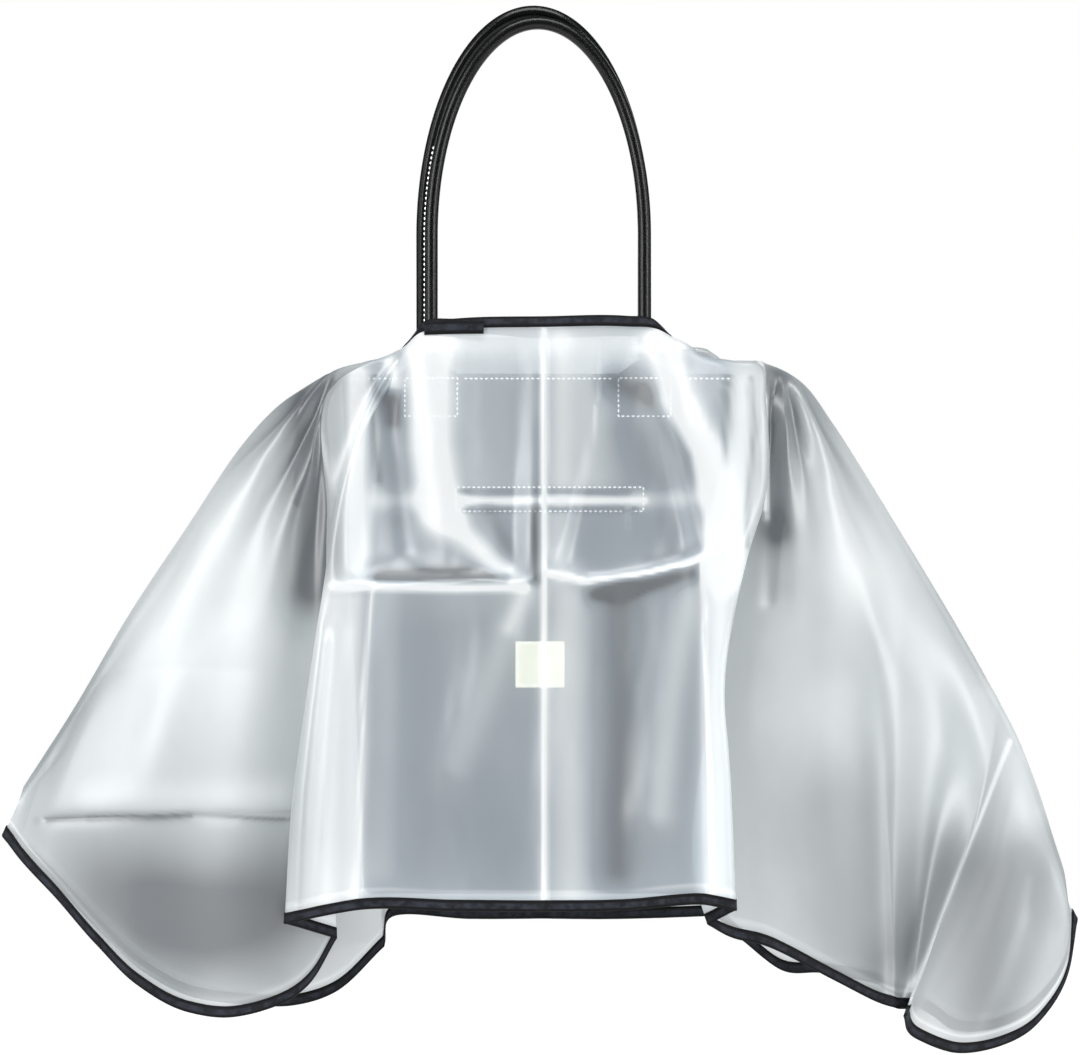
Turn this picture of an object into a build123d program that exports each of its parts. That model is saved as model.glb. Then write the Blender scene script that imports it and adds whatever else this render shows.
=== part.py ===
"""A frosted rain cape for a handbag, worn on the leather tote that carries it.

The tote hangs by its two rolled handles. The origin is the point the handles hang from,
+X is the right of the tote, -Y its front and +Z is up. Everything is in millimetres.
"""

import os
from math import atan2, cos, pi, sin, tan

from build123d import *

# ---- the tote -------------------------------------------------------------------------
BAG_TOP_Z = -248.0
BAG_BASE_Z = -619.0
BAG_TOP_HALF_WIDTH = 142.0
BAG_BASE_HALF_WIDTH = 125.0
BAG_TOP_HALF_DEPTH = 22.0
BAG_BASE_HALF_DEPTH = 60.0
LEATHER = 2.0
STIFFENER = 2.4
LINING = 0.5
LINING_GAP = 4.0
FACING_WIDTH = 30.0
FACING = 1.0

# ---- the front zip pocket -------------------------------------------------------------
ZIP_Z = -338.0
ZIP_CENTRE_X = 7.0
ZIP_WINDOW = 128.0
ZIP_WINDOW_HEIGHT = 10.0
TAPE_OVERLAP = 6.0
TAPE_HEIGHT = 26.0
TAPE = 0.8
TOOTH_PITCH = 3.0
TOOTH = (1.9, 6.0, 1.7)
END_STOP = (2.4, 7.0, 2.2)
SLIDER = (12.0, 9.4, 1.3)
SLIDER_REST_X = 63.0
SLIDER_CLEARANCE = 0.7
FLANGE = 0.8
BRIDGE_LEG = (1.4, 2.6, 4.4)
BRIDGE_HALF_SPAN = 3.6
PIN_RADIUS = 0.8
PIN_RISE = 2.4
PULL_LENGTH = 24.0
PULL_WIDTH = 6.0
PULL = 1.2
PULL_EYE_RADIUS = 1.9
PULL_HOLE_RADIUS = 1.6
POUCH_DEPTH = 110.0
POUCH = 2.4
POUCH_WALL = 0.4
POUCH_GAP = 0.2

# ---- the label patch ------------------------------------------------------------------
LABEL = (35.0, 33.0, 1.2)
LABEL_Z = -456.0

# ---- the handles ----------------------------------------------------------------------
HANDLE_RADIUS = 4.75
HANDLE_BORE = 3.4
CORE_RADIUS = 3.3
PIVOT_Y = 23.5
PIVOT_Z = -232.5
ARCH_CENTRE_Z = -148.0
HANDLE_TOP_Y = 5.2
FRONT_HANDLE = {"centre_x": -1.5, "half_width": 76.5, "top_z": 9.4}
BACK_HANDLE = {"centre_x": -4.7, "half_width": 80.0, "top_z": 18.0}
ARCH_TURNS = 8
TAB_WIDTH = 42.0
TAB_DROP = 33.0
TAB_NECK_WIDTH = 10.0
TAB_NECK_RISE = 9.5
TAB = 2.5

# ---- the cape -------------------------------------------------------------------------
FILM = 0.4
BINDING = 1.6
BINDING_WIDTH = 7.0
LAP = 0.8
LAP_CLEARANCE = 0.15
LAP_ENDS = ((-40, -51.2, -211.6), (-82, -50.6, -212.4))
LAP_FALL = (0, -1.7, -8.2)
FOLD_HALF_WIDTH = 2.8
WING_GAP = 0.5
ROW_SHARES = (0.0, 0.07, 0.14, 0.23, 0.34, 0.46, 0.58, 0.70, 0.82, 0.92)

# The neck slit's edge, as a loop seen from above, starting at the front.
NECK_EDGE = [
    (4, -50, -208), (-60, -50, -209.6), (-83, -49, -212), (-88, -44, -218.5), (-93, -32, -225),
    (-95, 0, -231), (-93, 32, -225), (-88, 44, -218.5), (-83, 49, -214), (4, 50, -213.5),
    (80, 49, -213), (87, 43, -217), (92, 31, -221), (95, 0, -225.5), (92, -31, -221),
    (87, -43, -215.5), (80, -49, -209.5), (62, -50, -207.7),
]

# Where the film starts, one binding's width outside the neck edge.
NECK_FILM = {
    "front": (4, -51.3, -214.6), "front_left": (-60, -51.3, -216.2), "front_right": (62, -51.3, -214.3),
    "left_corner": (-85, -51, -218.6), "left_fold": (-92, -46, -224.5),
    "left_side": (-98, -33.5, -230), "left_end": (-101.5, 0, -236),
    "right_corner": (83, -51, -216), "right_fold": (92, -45.5, -221),
    "right_side": (98, -32.5, -226.5), "right_end": (101.5, 0, -231),
    "back": (4, 51.3, -220), "back_left": (-85, 51, -220.5), "back_right": (83, 51, -219.5),
}


def rounded_fold(points):
    """A fold line as two lines, its front and its back edge, which start at one point."""
    half = FOLD_HALF_WIDTH
    return [[points[0]] + [(x, y + shift, z) for x, y, z in points[1:]] for shift in (-half, half)]


LEFT_FOLD = rounded_fold([
    NECK_FILM["left_fold"], (-112, -43, -250), (-140, -56, -323), (-156, -64, -414),
    (-168, -70, -495), (-175, -72, -546), (-181, -74, -639),
])
RIGHT_FOLD = rounded_fold([
    NECK_FILM["right_fold"], (114, -43, -234.5), (138, -40, -239), (157, -38, -241.5),
    (161, -48, -270), (161, -57, -333), (147, -63, -381), (131, -71, -482), (134, -73, -519),
    (139, -76, -629.5),
])

# Lines down the front panel, from the neck to the hem.
FRONT_COLUMNS = [
    [NECK_FILM["left_side"], (-147, -36, -256), (-152, -45, -350), (-150, -47, -500), (-145, -48, -651)],
    LEFT_FOLD[1], LEFT_FOLD[0],
    [NECK_FILM["left_corner"], (-100, -53, -262), (-122, -70, -480), (-130, -80, -629)],
    [NECK_FILM["front_left"], (-61, -65, -420), (-62, -80, -629.5)],
    [NECK_FILM["front"], (4, -65, -420), (4, -80, -630)],
    [NECK_FILM["front_right"], (62, -65, -420), (62, -80, -629)],
    [NECK_FILM["right_corner"], (98, -54, -262), (112, -72, -480), (114, -80, -625)],
    RIGHT_FOLD[0], RIGHT_FOLD[1],
    [NECK_FILM["right_side"], (140, -31, -250), (126, -42, -330), (119, -48, -379),
     (119, -57, -482), (112, -68, -618), (119, -68, -640)],
]

# Lines down the back panel, from the neck to the hem.
BACK_COLUMNS = [
    [(-98, 33.5, -230), (-147, 36, -256), (-144, 53, -350), (-129, 62, -500), (-114, 70, -664)],
    [NECK_FILM["back_left"], (-94, 54, -262), (-102, 68, -480), (-109, 78, -643)],
    [(-50, 51.3, -220), (-51, 65, -420), (-52, 79, -644)],
    [NECK_FILM["back"], (4, 65, -420), (4, 79, -644)],
    [(60, 51.3, -219.7), (60, 65, -420), (62, 79, -644)],
    [NECK_FILM["back_right"], (98, 54, -262), (114, 68, -480), (121, 78, -642)],
    [(98, 32.5, -226.5), (140, 31, -250), (133, 48, -379), (130, 60, -500), (128, 70, -641)],
]

# Lines of the left side, from the ridge down the front to the hem, outwards to the tip.
LEFT_SIDE = [
    [NECK_FILM["left_end"]] + FRONT_COLUMNS[0],
    [(-124, 0, -242), (-127, -25, -243), (-151, -28, -248), (-164, -36, -276), (-168, -44, -340),
     (-168, -48, -500), (-166, -48, -685)],
    [(-147, 0, -245.5), (-152, -20, -249), (-174, -34, -284), (-180, -46, -350),
     (-184, -51, -520), (-186, -53, -698)],
    [(-172, 0, -259), (-176, -13, -264), (-192, -34, -310), (-202, -46, -400),
     (-212, -52, -560), (-223, -54, -707)],
    [(-189, 0, -271), (-191, -10, -276), (-204, -32, -320), (-225, -42, -430),
     (-240, -48, -580), (-252, -49, -703.5)],
    [(-217, 0, -302), (-219, -7, -308), (-234, -24, -350), (-258, -36, -460), (-288, -41, -684.5)],
    [(-253, 0, -356), (-255, -5, -362), (-270, -18, -405), (-293, -28, -510), (-317, -31, -656.5)],
    [(-296, 0, -421), (-298, -4, -427), (-312, -12, -465), (-346, -19, -623.5)],
    [(-338.5, 0, -493), (-340, -3, -498), (-353, -8, -535), (-373, -8, -596)],
    [(-372, 0, -545), (-373, -2.5, -549), (-386.5, -3.5, -581)],
]
LEFT_BACK_HEM = [
    (-114, 70, -664), (-150, 65, -697), (-180, 60, -706), (-221, 54, -704),
    (-252, 48, -699), (-288, 40, -680), (-317, 30, -652), (-346, 18, -620), (-373, 8, -592),
    (-386.5, 3.5, -579.5),
]

# The same on the right, where the outer wing carries a standing pleat.
RIGHT_SIDE = [
    [NECK_FILM["right_end"]] + FRONT_COLUMNS[-1],
    [(130, 0, -237.5), (134, -22, -239), (153, -27, -246), (164, -34, -272), (156, -42, -335),
     (148, -53, -430), (142, -61, -560), (138, -61, -650)],
    [(157, 0, -239), (161, -15, -243), (176, -28, -275), (174, -42, -340),
     (166, -55, -500), (162, -60, -656)],
    [(187, 0, -252.5), (190, -14, -260), (196, -36, -320), (204, -50, -500), (209, -54, -680)],
    [(211, 0, -283.5), (213, -8, -290), (222, -30, -350), (232, -44, -520), (238, -52, -695)],
    [(258, 0, -359), (258, -6, -366), (255, -34, -450), (252, -50, -580), (254, -57, -700)],
    [(303, 0, -434), (302, -6, -442), (292, -26, -520), (263, -46, -702)],
    [(330, 0, -482), (329, -6, -490), (313, -46, -560), (258.5, -76, -704)],
    [(345, 0, -512), (344, -4, -519), (322, -26, -600), (268, -52, -722)],
    [(353, 0, -532), (353, -3, -538), (338, -22, -620), (298, -42, -733)],
    [(361, 0, -554), (361, -3, -560), (352, -16, -640), (331, -31, -728.5)],
    [(369.5, 0, -581), (370, -2.5, -587), (367, -12, -650), (358, -19, -712.5)],
    [(378, 0, -609), (378.5, -2.5, -615), (380, -8, -677)],
    [(379, 0, -622), (380, -3, -627), (386.5, -4.5, -641)],
]
RIGHT_BACK_HEM = [
    (128, 70, -641), (150, 66, -661), (175, 62, -680), (205, 56, -682), (240, 50, -688),
    (252, 47, -694), (260, 46, -698), (268, 44, -702), (285, 41, -712), (302, 38, -722),
    (331, 28, -720), (358, 17, -704), (380, 8, -670), (386.5, 4.5, -640),
]
# The column of each side where its free wing starts.
WING_START = 3


# ---- helpers ----------------------------------------------------------------------------
def along(points, shares):
    """Points at the given shares of the length of a polyline."""
    points = [Vector(*p) for p in points]
    steps = [(b - a).length for a, b in zip(points, points[1:])]
    found = []
    for share in shares:
        left = share * sum(steps)
        for start, end, step in zip(points, points[1:], steps):
            if left <= step + 1e-9:
                break
            left -= step
        found.append(start + (end - start) * min(1.0, left / step))
    return found


def length_of(points):
    points = [Vector(*p) for p in points]
    return sum((b - a).length for a, b in zip(points, points[1:]))


def column_rows(points):
    """A film column's rows: shares of its length, then the top of the hem binding, then the hem."""
    hem = 1.0 - BINDING_WIDTH / length_of(points)
    shares = [share * hem / ROW_SHARES[-1] for share in ROW_SHARES]
    return along(points, shares + [1.0])


def side_column(points):
    """A side column's rows: the ridge, then the rows from the shoulder down to the hem."""
    return [Vector(*points[0])] + column_rows(points[1:])


def mirrored_column(points, hem):
    """A front column turned to the back, leaning so that it ends at its own hem point."""
    end = Vector(*points[-1])
    shift = Vector(*hem) - Vector(end.X, -end.Y, end.Z)
    total = length_of(points)
    turned = []
    for count, (x, y, z) in enumerate(points):
        share = length_of(points[: count + 1]) / total if count else 0.0
        moved = Vector(x, -y, z) + shift * share
        turned.append((moved.X, moved.Y, moved.Z))
    return turned


def key(point):
    return (round(point.X, 3), round(point.Y, 3), round(point.Z, 3))


def quads_of(grid, columns=None, rows=None):
    """The four-cornered cells of a grid, as lists of points."""
    columns = columns or range(len(grid) - 1)
    rows = rows or range(len(grid[0]) - 1)
    return [[grid[i][j], grid[i + 1][j], grid[i + 1][j + 1], grid[i][j + 1]] for i in columns for j in rows]


def triangles_of(quad):
    """Two triangles, always split along the same diagonal, without any that have no area."""
    a, b, c, d = quad
    return [t for t in ((a, b, c), (a, c, d)) if len({key(p) for p in t}) == 3]


def vertex_offsets(quads):
    """For each point of a sheet, the direction and stretch that keeps its thickness even."""
    sums = {}
    for quad in quads:
        for triangle in triangles_of(quad):
            normal = (triangle[1] - triangle[0]).cross(triangle[2] - triangle[0]).normalized()
            for point in triangle:
                sums.setdefault(key(point), []).append(normal)
    offsets = {}
    for place, normals in sums.items():
        mean = sum(normals, Vector(0, 0, 0)).normalized()
        spread = sum(mean.dot(normal) for normal in normals) / len(normals)
        offsets[place] = mean / max(spread, 0.45)
    return offsets


def skin(quads, offsets, thickness):
    """A thin closed solid around part of a sheet."""
    triangles = [t for quad in quads for t in triangles_of(quad)]
    outer = {}
    inner = {}
    edges = {}
    for triangle in triangles:
        for point in triangle:
            place = key(point)
            outer[place] = point + offsets[place] * (thickness / 2)
            inner[place] = point - offsets[place] * (thickness / 2)
        for start, end in zip(triangle, triangle[1:] + triangle[:1]):
            edges.setdefault(frozenset((key(start), key(end))), []).append((key(start), key(end)))
    faces = []
    for triangle in triangles:
        places = [key(p) for p in triangle]
        faces.append([outer[p] for p in places])
        faces.append([inner[p] for p in reversed(places)])
    for uses in edges.values():
        if len(uses) == 1:
            low, high = sorted(uses[0])
            faces.append([outer[low], outer[high], inner[low]])
            faces.append([inner[low], outer[high], inner[high]])
    return Solid(Shell([Face(Wire.make_polygon(f, close=True)) for f in faces]))


def write(node, *solids):
    """One node's STEP file, with its separate solids side by side."""
    export_step(Compound(children=list(solids)) if len(solids) > 1 else solids[0], f"parts/{node}.step")


def frustum_corners(z, inset_x, inset_y):
    """Four corners of the tote's outline at one height, moved in by the given insets."""
    down = (BAG_TOP_Z - z) / (BAG_TOP_Z - BAG_BASE_Z)
    half_x = BAG_TOP_HALF_WIDTH + (BAG_BASE_HALF_WIDTH - BAG_TOP_HALF_WIDTH) * down - inset_x
    half_y = BAG_TOP_HALF_DEPTH + (BAG_BASE_HALF_DEPTH - BAG_TOP_HALF_DEPTH) * down - inset_y
    return [Vector(x * half_x, y * half_y, z) for x, y in ((-1, -1), (1, -1), (1, 1), (-1, 1))]


def block(low, high):
    """A solid between a lower and an upper four-cornered outline."""
    sides = [[low[i], low[(i + 1) % 4], high[(i + 1) % 4], high[i]] for i in range(4)]
    faces = [low[::-1], high] + sides
    return Solid(Shell([Face(Wire.make_polygon(f, close=True)) for f in faces]))


def wall(side, low_z, high_z, outer, inner):
    """One side wall of the tote between two insets, mitred at both ends."""
    loops = []
    for z in (low_z, high_z):
        out = frustum_corners(z, outer, outer)
        back = frustum_corners(z, inner, inner)
        nxt = (side + 1) % 4
        loops.append([out[side], out[nxt], back[nxt], back[side]])
    return block(*loops)


FACE_TILT = atan2(BAG_BASE_HALF_DEPTH - BAG_TOP_HALF_DEPTH, BAG_TOP_Z - BAG_BASE_Z)


def face_plane(x, z, side=-1):
    """A plane on the tote's front (side -1) or back (side 1): local y runs up the leather."""
    down = (BAG_TOP_Z - z) / (BAG_TOP_Z - BAG_BASE_Z)
    y = BAG_TOP_HALF_DEPTH + (BAG_BASE_HALF_DEPTH - BAG_TOP_HALF_DEPTH) * down
    across = (-side, 0, 0)
    return Plane(origin=(x, side * y, z), x_dir=across, z_dir=(0, side * cos(FACE_TILT), sin(FACE_TILT)))


# ---- the tote -------------------------------------------------------------------------
def make_bag():
    floor_z = BAG_BASE_Z + LEATHER
    walls = [wall(side, floor_z, BAG_TOP_Z, 0, LEATHER) for side in range(4)]
    front = walls[0] - face_plane(ZIP_CENTRE_X, ZIP_Z) * Box(ZIP_WINDOW, ZIP_WINDOW_HEIGHT, 4 * LEATHER)
    write("bag_front_panel", front)
    write("bag_right_gusset", walls[1])
    write("bag_back_panel", walls[2])
    write("bag_left_gusset", walls[3])
    write("bag_base", block(frustum_corners(BAG_BASE_Z, 0, 0), frustum_corners(floor_z, 0, 0)))

    board_z = floor_z + STIFFENER
    board_inset = LEATHER + 0.5
    board = block(
        frustum_corners(floor_z, board_inset, board_inset), frustum_corners(board_z, board_inset, board_inset)
    )
    write("base_stiffener", board)

    lining_top = BAG_TOP_Z - FACING_WIDTH - 0.5
    outer = LEATHER + LINING_GAP
    inner = outer + LINING
    lining = block(frustum_corners(board_z, outer, outer), frustum_corners(lining_top, outer, outer))
    lining -= block(
        frustum_corners(board_z + LINING, inner, inner), frustum_corners(lining_top + 1, inner, inner)
    )
    write("lining", lining)

    facing_base = BAG_TOP_Z - FACING_WIDTH
    facing_back = LEATHER + FACING
    facing = block(
        frustum_corners(facing_base, LEATHER, LEATHER), frustum_corners(BAG_TOP_Z, LEATHER, LEATHER)
    )
    facing -= block(
        frustum_corners(facing_base - 1, facing_back, facing_back),
        frustum_corners(BAG_TOP_Z + 1, facing_back, facing_back),
    )
    write("top_facing", facing)
    write("label_patch", face_plane(0, LABEL_Z) * Pos(0, 0, LABEL[2] / 2) * Box(*LABEL))


def make_pocket():
    """The zip set behind its window in the front leather, and the pouch that hangs from its tape."""
    face = face_plane(ZIP_CENTRE_X, ZIP_Z)
    tape_face = -LEATHER
    tape_length = ZIP_WINDOW + 2 * TAPE_OVERLAP
    write("zip_tape", face * Pos(0, 0, tape_face - TAPE / 2) * Box(tape_length, TAPE_HEIGHT, TAPE))

    count = int((ZIP_WINDOW - 2 * TAPE_OVERLAP) / TOOTH_PITCH)
    teeth = []
    for index in range(count):
        x = (index - (count - 1) / 2) * TOOTH_PITCH
        teeth.append(face * Pos(x, 0, tape_face + TOOTH[2] / 2) * Box(*TOOTH))
    write("zip_teeth", *teeth)

    stop_x = (count + 1) * TOOTH_PITCH / 2
    stops = [face * Pos(x, 0, tape_face + END_STOP[2] / 2) * Box(*END_STOP) for x in (-stop_x, stop_x)]
    write("zip_end_stops", *stops)

    pouch_y = (TAPE_HEIGHT - POUCH_DEPTH) / 2
    pouch = Box(tape_length, POUCH_DEPTH, POUCH)
    pouch -= Pos(0, POUCH_WALL, 0) * Box(tape_length - 2 * POUCH_WALL, POUCH_DEPTH, POUCH - 2 * POUCH_WALL)
    write("pocket_pouch", face * Pos(0, pouch_y, tape_face - TAPE - POUCH_GAP - POUCH / 2) * pouch)


def make_zip_slider():
    """The slider that runs on the teeth, with a bridge for its pull, and the pull on the bridge's pin."""
    face = face_plane(SLIDER_REST_X, ZIP_Z)
    tape_face = -LEATHER
    plate_base = tape_face + TOOTH[2] + SLIDER_CLEARANCE
    plate = Pos(0, 0, plate_base + SLIDER[2] / 2) * Box(*SLIDER)
    flange_height = plate_base - tape_face - FLANGE / 2
    flange_y = (SLIDER[1] - FLANGE) / 2
    for y in (-flange_y, flange_y):
        plate += Pos(0, y, plate_base - flange_height / 2) * Box(SLIDER[0], FLANGE, flange_height)
    pin_z = plate_base + SLIDER[2] + PIN_RISE
    for x in (-BRIDGE_HALF_SPAN, BRIDGE_HALF_SPAN):
        plate += Pos(x, 0, pin_z - BRIDGE_LEG[2] / 2 + 1) * Box(*BRIDGE_LEG)
    plate += Pos(0, 0, pin_z) * Rot(0, 90, 0) * Cylinder(PIN_RADIUS, 2 * BRIDGE_HALF_SPAN)
    write("zip_slider", face * plate)

    pull = Pos(0, -PULL_LENGTH / 2, 0) * Box(PULL_WIDTH - 0.6, PULL_LENGTH - 2, PULL)
    pull += Rot(0, 90, 0) * Cylinder(PULL_EYE_RADIUS, PULL_WIDTH - 0.8)
    pull -= Rot(0, 90, 0) * Cylinder(PIN_RADIUS + 0.08, PULL_WIDTH)
    pull -= Pos(0, 5 - PULL_LENGTH, 0) * Cylinder(PULL_HOLE_RADIUS, 2 * PULL)
    write("zip_pull", face * Pos(0, 0, pin_z) * pull)


def handle_path(spec):
    """The handle's centre line in its own plane, from one pivot over the arch to the other."""
    half = spec["half_width"]
    rise = ARCH_CENTRE_Z - PIVOT_Z
    height = spec["top_z"] - HANDLE_RADIUS - ARCH_CENTRE_Z
    turn = pi / ARCH_TURNS
    points = [(-half, 0)]
    for index in range(ARCH_TURNS):
        middle = pi - (index + 0.5) * turn
        points.append((half * cos(middle) / cos(turn / 2), rise + height * sin(middle) / cos(turn / 2)))
    points.append((half, 0))
    points = [Vector(x, y) for x, y in points]
    radii = []
    for before, corner, after in zip(points, points[1:], points[2:]):
        run = min((corner - before).length, (after - corner).length)
        bend = (corner - before).get_angle(after - corner)
        radii.append(0.45 * run / tan(bend * pi / 360))
    return FilletPolyline(*points, radius=radii), points


def make_handle(name, spec, side):
    """One handle: a leather tube round a cord core, leaning towards the other handle."""
    lean = atan2(PIVOT_Y - HANDLE_TOP_Y, spec["top_z"] - HANDLE_RADIUS - PIVOT_Z)
    across = 1 if side < 0 else -1
    normal = (0, side * cos(lean), sin(lean))
    plane = Plane(origin=(spec["centre_x"], side * PIVOT_Y, PIVOT_Z), x_dir=(across, 0, 0), z_dir=normal)
    path, points = handle_path(spec)
    start = Plane(origin=points[0], x_dir=(1, 0, 0), z_dir=(0, 1, 0))
    tube = sweep(start * (Circle(HANDLE_RADIUS) - Circle(HANDLE_BORE)), path=path)
    core = sweep(start * Circle(CORE_RADIUS), path=path)
    for end in (points[0], points[-1]):
        cap = Pos(end.X, end.Y, 0) * Sphere(HANDLE_RADIUS)
        cap -= Pos(end.X, end.Y + HANDLE_RADIUS, 0) * Box(*[2 * HANDLE_RADIUS] * 3)
        tube += cap
    write(f"{name}_tube", plane * tube)
    write(f"{name}_core", plane * core)
    for label, sign in (("left", -1), ("right", 1)):
        x = spec["centre_x"] + sign * spec["half_width"]
        half = TAB_WIDTH / 2
        neck = TAB_NECK_WIDTH / 2
        outline = [
            (-half, -TAB_DROP), (half, -TAB_DROP), (half, -2), (neck, TAB_NECK_RISE),
            (-neck, TAB_NECK_RISE), (-half, -2),
        ]
        tab = extrude(Face(Wire.make_polygon([Vector(*p, 0) for p in outline], close=True)), TAB)
        tab = fillet(tab.edges().filter_by(Axis.Z).group_by(Axis.Y)[0], 4)
        write(f"{name.replace('handle', 'tab')}_{label}", face_plane(x, BAG_TOP_Z, side) * tab)


# ---- the cape -------------------------------------------------------------------------
def side_grid(front_columns, back_hems, back_inner):
    """A side's columns, each from the front hem up over the ridge and down to the back hem."""
    grid = []
    for index, (points, hem) in enumerate(zip(front_columns, back_hems)):
        front = side_column(points)
        if index:
            back = side_column(mirrored_column(points, hem))
        else:
            back = [Vector(*points[0])] + column_rows(back_inner)
        grid.append(front[::-1] + back[1:])
    return grid


def shifted(column, shift):
    return [point + Vector(shift, 0, 0) for point in column]


def make_cape():
    front = [column_rows(points) for points in FRONT_COLUMNS]
    back = [column_rows(points) for points in BACK_COLUMNS]
    left = side_grid(LEFT_SIDE, LEFT_BACK_HEM, BACK_COLUMNS[0])
    right = side_grid(RIGHT_SIDE, RIGHT_BACK_HEM, BACK_COLUMNS[-1])
    rows = len(front[0])
    film_rows = range(rows - 2)
    hem_row = range(rows - 2, rows - 1)
    side_rows = len(left[0])
    side_film = range(1, side_rows - 2)
    side_hems = (range(0, 1), range(side_rows - 2, side_rows - 1))

    facing_in = quads_of(front) + quads_of(left)
    facing_out = quads_of(back) + quads_of(right)
    offsets = vertex_offsets(facing_in + [quad[::-1] for quad in facing_out])
    write("cape_front_film", skin(quads_of(front, rows=film_rows), offsets, FILM))
    write("cape_back_film", skin(quads_of(back, rows=film_rows), offsets, FILM))
    write("front_hem_binding", skin(quads_of(front, rows=hem_row), offsets, BINDING))
    write("back_hem_binding", skin(quads_of(back, rows=hem_row), offsets, BINDING))

    for name, grid, shift in (("left", left, -WING_GAP), ("right", right, WING_GAP)):
        shoulder = range(WING_START)
        write(f"{name}_shoulder_film", skin(quads_of(grid, shoulder, side_film), offsets, FILM))
        strips = [skin(quads_of(grid, shoulder, hem), offsets, BINDING) for hem in side_hems]
        write(f"{name}_shoulder_hem_binding", *strips)
        wing = [shifted(grid[WING_START], shift)] + grid[WING_START + 1 :]
        wing_offsets = vertex_offsets(quads_of(wing))
        write(f"{name}_wing_film", skin(quads_of(wing, rows=side_film), wing_offsets, FILM))
        strips = [skin(quads_of(wing, rows=hem), wing_offsets, BINDING) for hem in side_hems]
        write(f"{name}_wing_hem_binding", *strips)


def make_neck_binding():
    """The folded tape round the slit, and its lapped end at the front left."""
    edge = [Vector(*p) for p in NECK_EDGE]
    feet = [
        "front", "front_left", "left_corner", "left_fold", "left_side", "left_end", "left_side",
        "left_fold", "back_left", "back", "back_right", "right_fold", "right_side", "right_end",
        "right_side", "right_fold", "right_corner", "front_right",
    ]
    foot = []
    for top, name in zip(edge, feet):
        x, y, z = NECK_FILM[name]
        foot.append(Vector(x, abs(y) if top.Y > 0 else y, z))
    loop = [[top, bottom] for top, bottom in zip(edge, foot)]
    loop.append(loop[0])
    quads = quads_of(loop)
    write("neck_binding", skin(quads, vertex_offsets(quads), BINDING))

    forward = Vector(0, -(BINDING + LAP) / 2 - LAP_CLEARANCE, 0)
    start, end = [Vector(*p) + forward for p in LAP_ENDS]
    lap = [[p, p + Vector(*LAP_FALL)] for p in (start, (start + end) / 2, end)]
    quads = quads_of(lap)
    write("neck_binding_lap", skin(quads, vertex_offsets(quads), LAP))


os.makedirs("parts", exist_ok=True)
make_bag()
make_pocket()
make_zip_slider()
make_handle("front_handle", FRONT_HANDLE, -1)
make_handle("back_handle", BACK_HANDLE, 1)
make_cape()
make_neck_binding()
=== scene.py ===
"""The looks of a frosted rain cape for a handbag and of the leather tote that carries it.

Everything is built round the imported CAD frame, in metres: +X is the right of the tote, -Y its
front, +Z is up, and the origin is where the tote hangs by its handles. The cape's control lines
are in millimetres, and MM turns them into metres. They are the CAD's own, apart from the depth
of the wing tips and the last point of LEFT_BACK_HEM.
"""

from math import atan2, cos, pi, radians, sin

import bmesh
import bpy
import numpy as np
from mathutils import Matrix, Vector, noise


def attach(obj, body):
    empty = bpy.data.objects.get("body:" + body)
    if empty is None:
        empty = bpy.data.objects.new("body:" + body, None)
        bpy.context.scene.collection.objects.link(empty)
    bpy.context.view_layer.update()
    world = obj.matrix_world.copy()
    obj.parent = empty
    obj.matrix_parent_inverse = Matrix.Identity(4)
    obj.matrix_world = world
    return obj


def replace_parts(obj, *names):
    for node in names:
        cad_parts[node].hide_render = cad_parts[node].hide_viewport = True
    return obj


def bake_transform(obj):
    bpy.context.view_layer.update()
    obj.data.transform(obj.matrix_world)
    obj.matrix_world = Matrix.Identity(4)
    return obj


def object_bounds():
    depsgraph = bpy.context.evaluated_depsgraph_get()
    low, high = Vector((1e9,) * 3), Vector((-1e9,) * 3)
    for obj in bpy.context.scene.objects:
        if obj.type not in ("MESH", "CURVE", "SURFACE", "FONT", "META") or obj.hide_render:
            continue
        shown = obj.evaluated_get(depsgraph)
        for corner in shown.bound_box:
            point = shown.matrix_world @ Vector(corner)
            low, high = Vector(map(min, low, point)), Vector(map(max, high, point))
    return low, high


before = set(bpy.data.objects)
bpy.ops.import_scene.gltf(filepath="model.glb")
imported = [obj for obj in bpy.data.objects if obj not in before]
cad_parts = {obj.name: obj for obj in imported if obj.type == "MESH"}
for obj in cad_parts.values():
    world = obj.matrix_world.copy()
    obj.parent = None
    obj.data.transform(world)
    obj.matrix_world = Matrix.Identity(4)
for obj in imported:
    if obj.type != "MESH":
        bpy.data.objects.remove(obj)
CAD_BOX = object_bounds()
MM = 0.001

# ---- the tote -------------------------------------------------------------------------
BAG_TOP_Z = -248.0
BAG_BASE_Z = -619.0
BAG_TOP_HALF = (142.0, 22.0)
BAG_BASE_HALF = (125.0, 60.0)
LEATHER = 2.0
BAG_CORNER = 6.0
BASE_ROLL = 5.0
FACING_WIDTH = 30.0
LINING_INSET = 6.0
ZIP_Z = -338.0
ZIP_CENTRE_X = 7.0
ZIP_WINDOW = (128.0, 10.0)
LABEL = (35.0, 33.0, 1.2)
LABEL_Z = -456.0
TAB_WIDTH = 42.0
TAB_DROP = 33.0
TAB = 2.5

# ---- thread ---------------------------------------------------------------------------
STITCH_PITCH = 3.6
STITCH_LENGTH = 2.5
STITCH_SIDES = 6
THREAD_RADIUS = 0.64
TOP_ROW_Z = -251.5
TAB_ROW_INSET = 2.2
ZIP_ROW_RISE = 8.6
ZIP_ROW_REACH = 3.0
LABEL_ROW_INSET = 1.7
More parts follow.
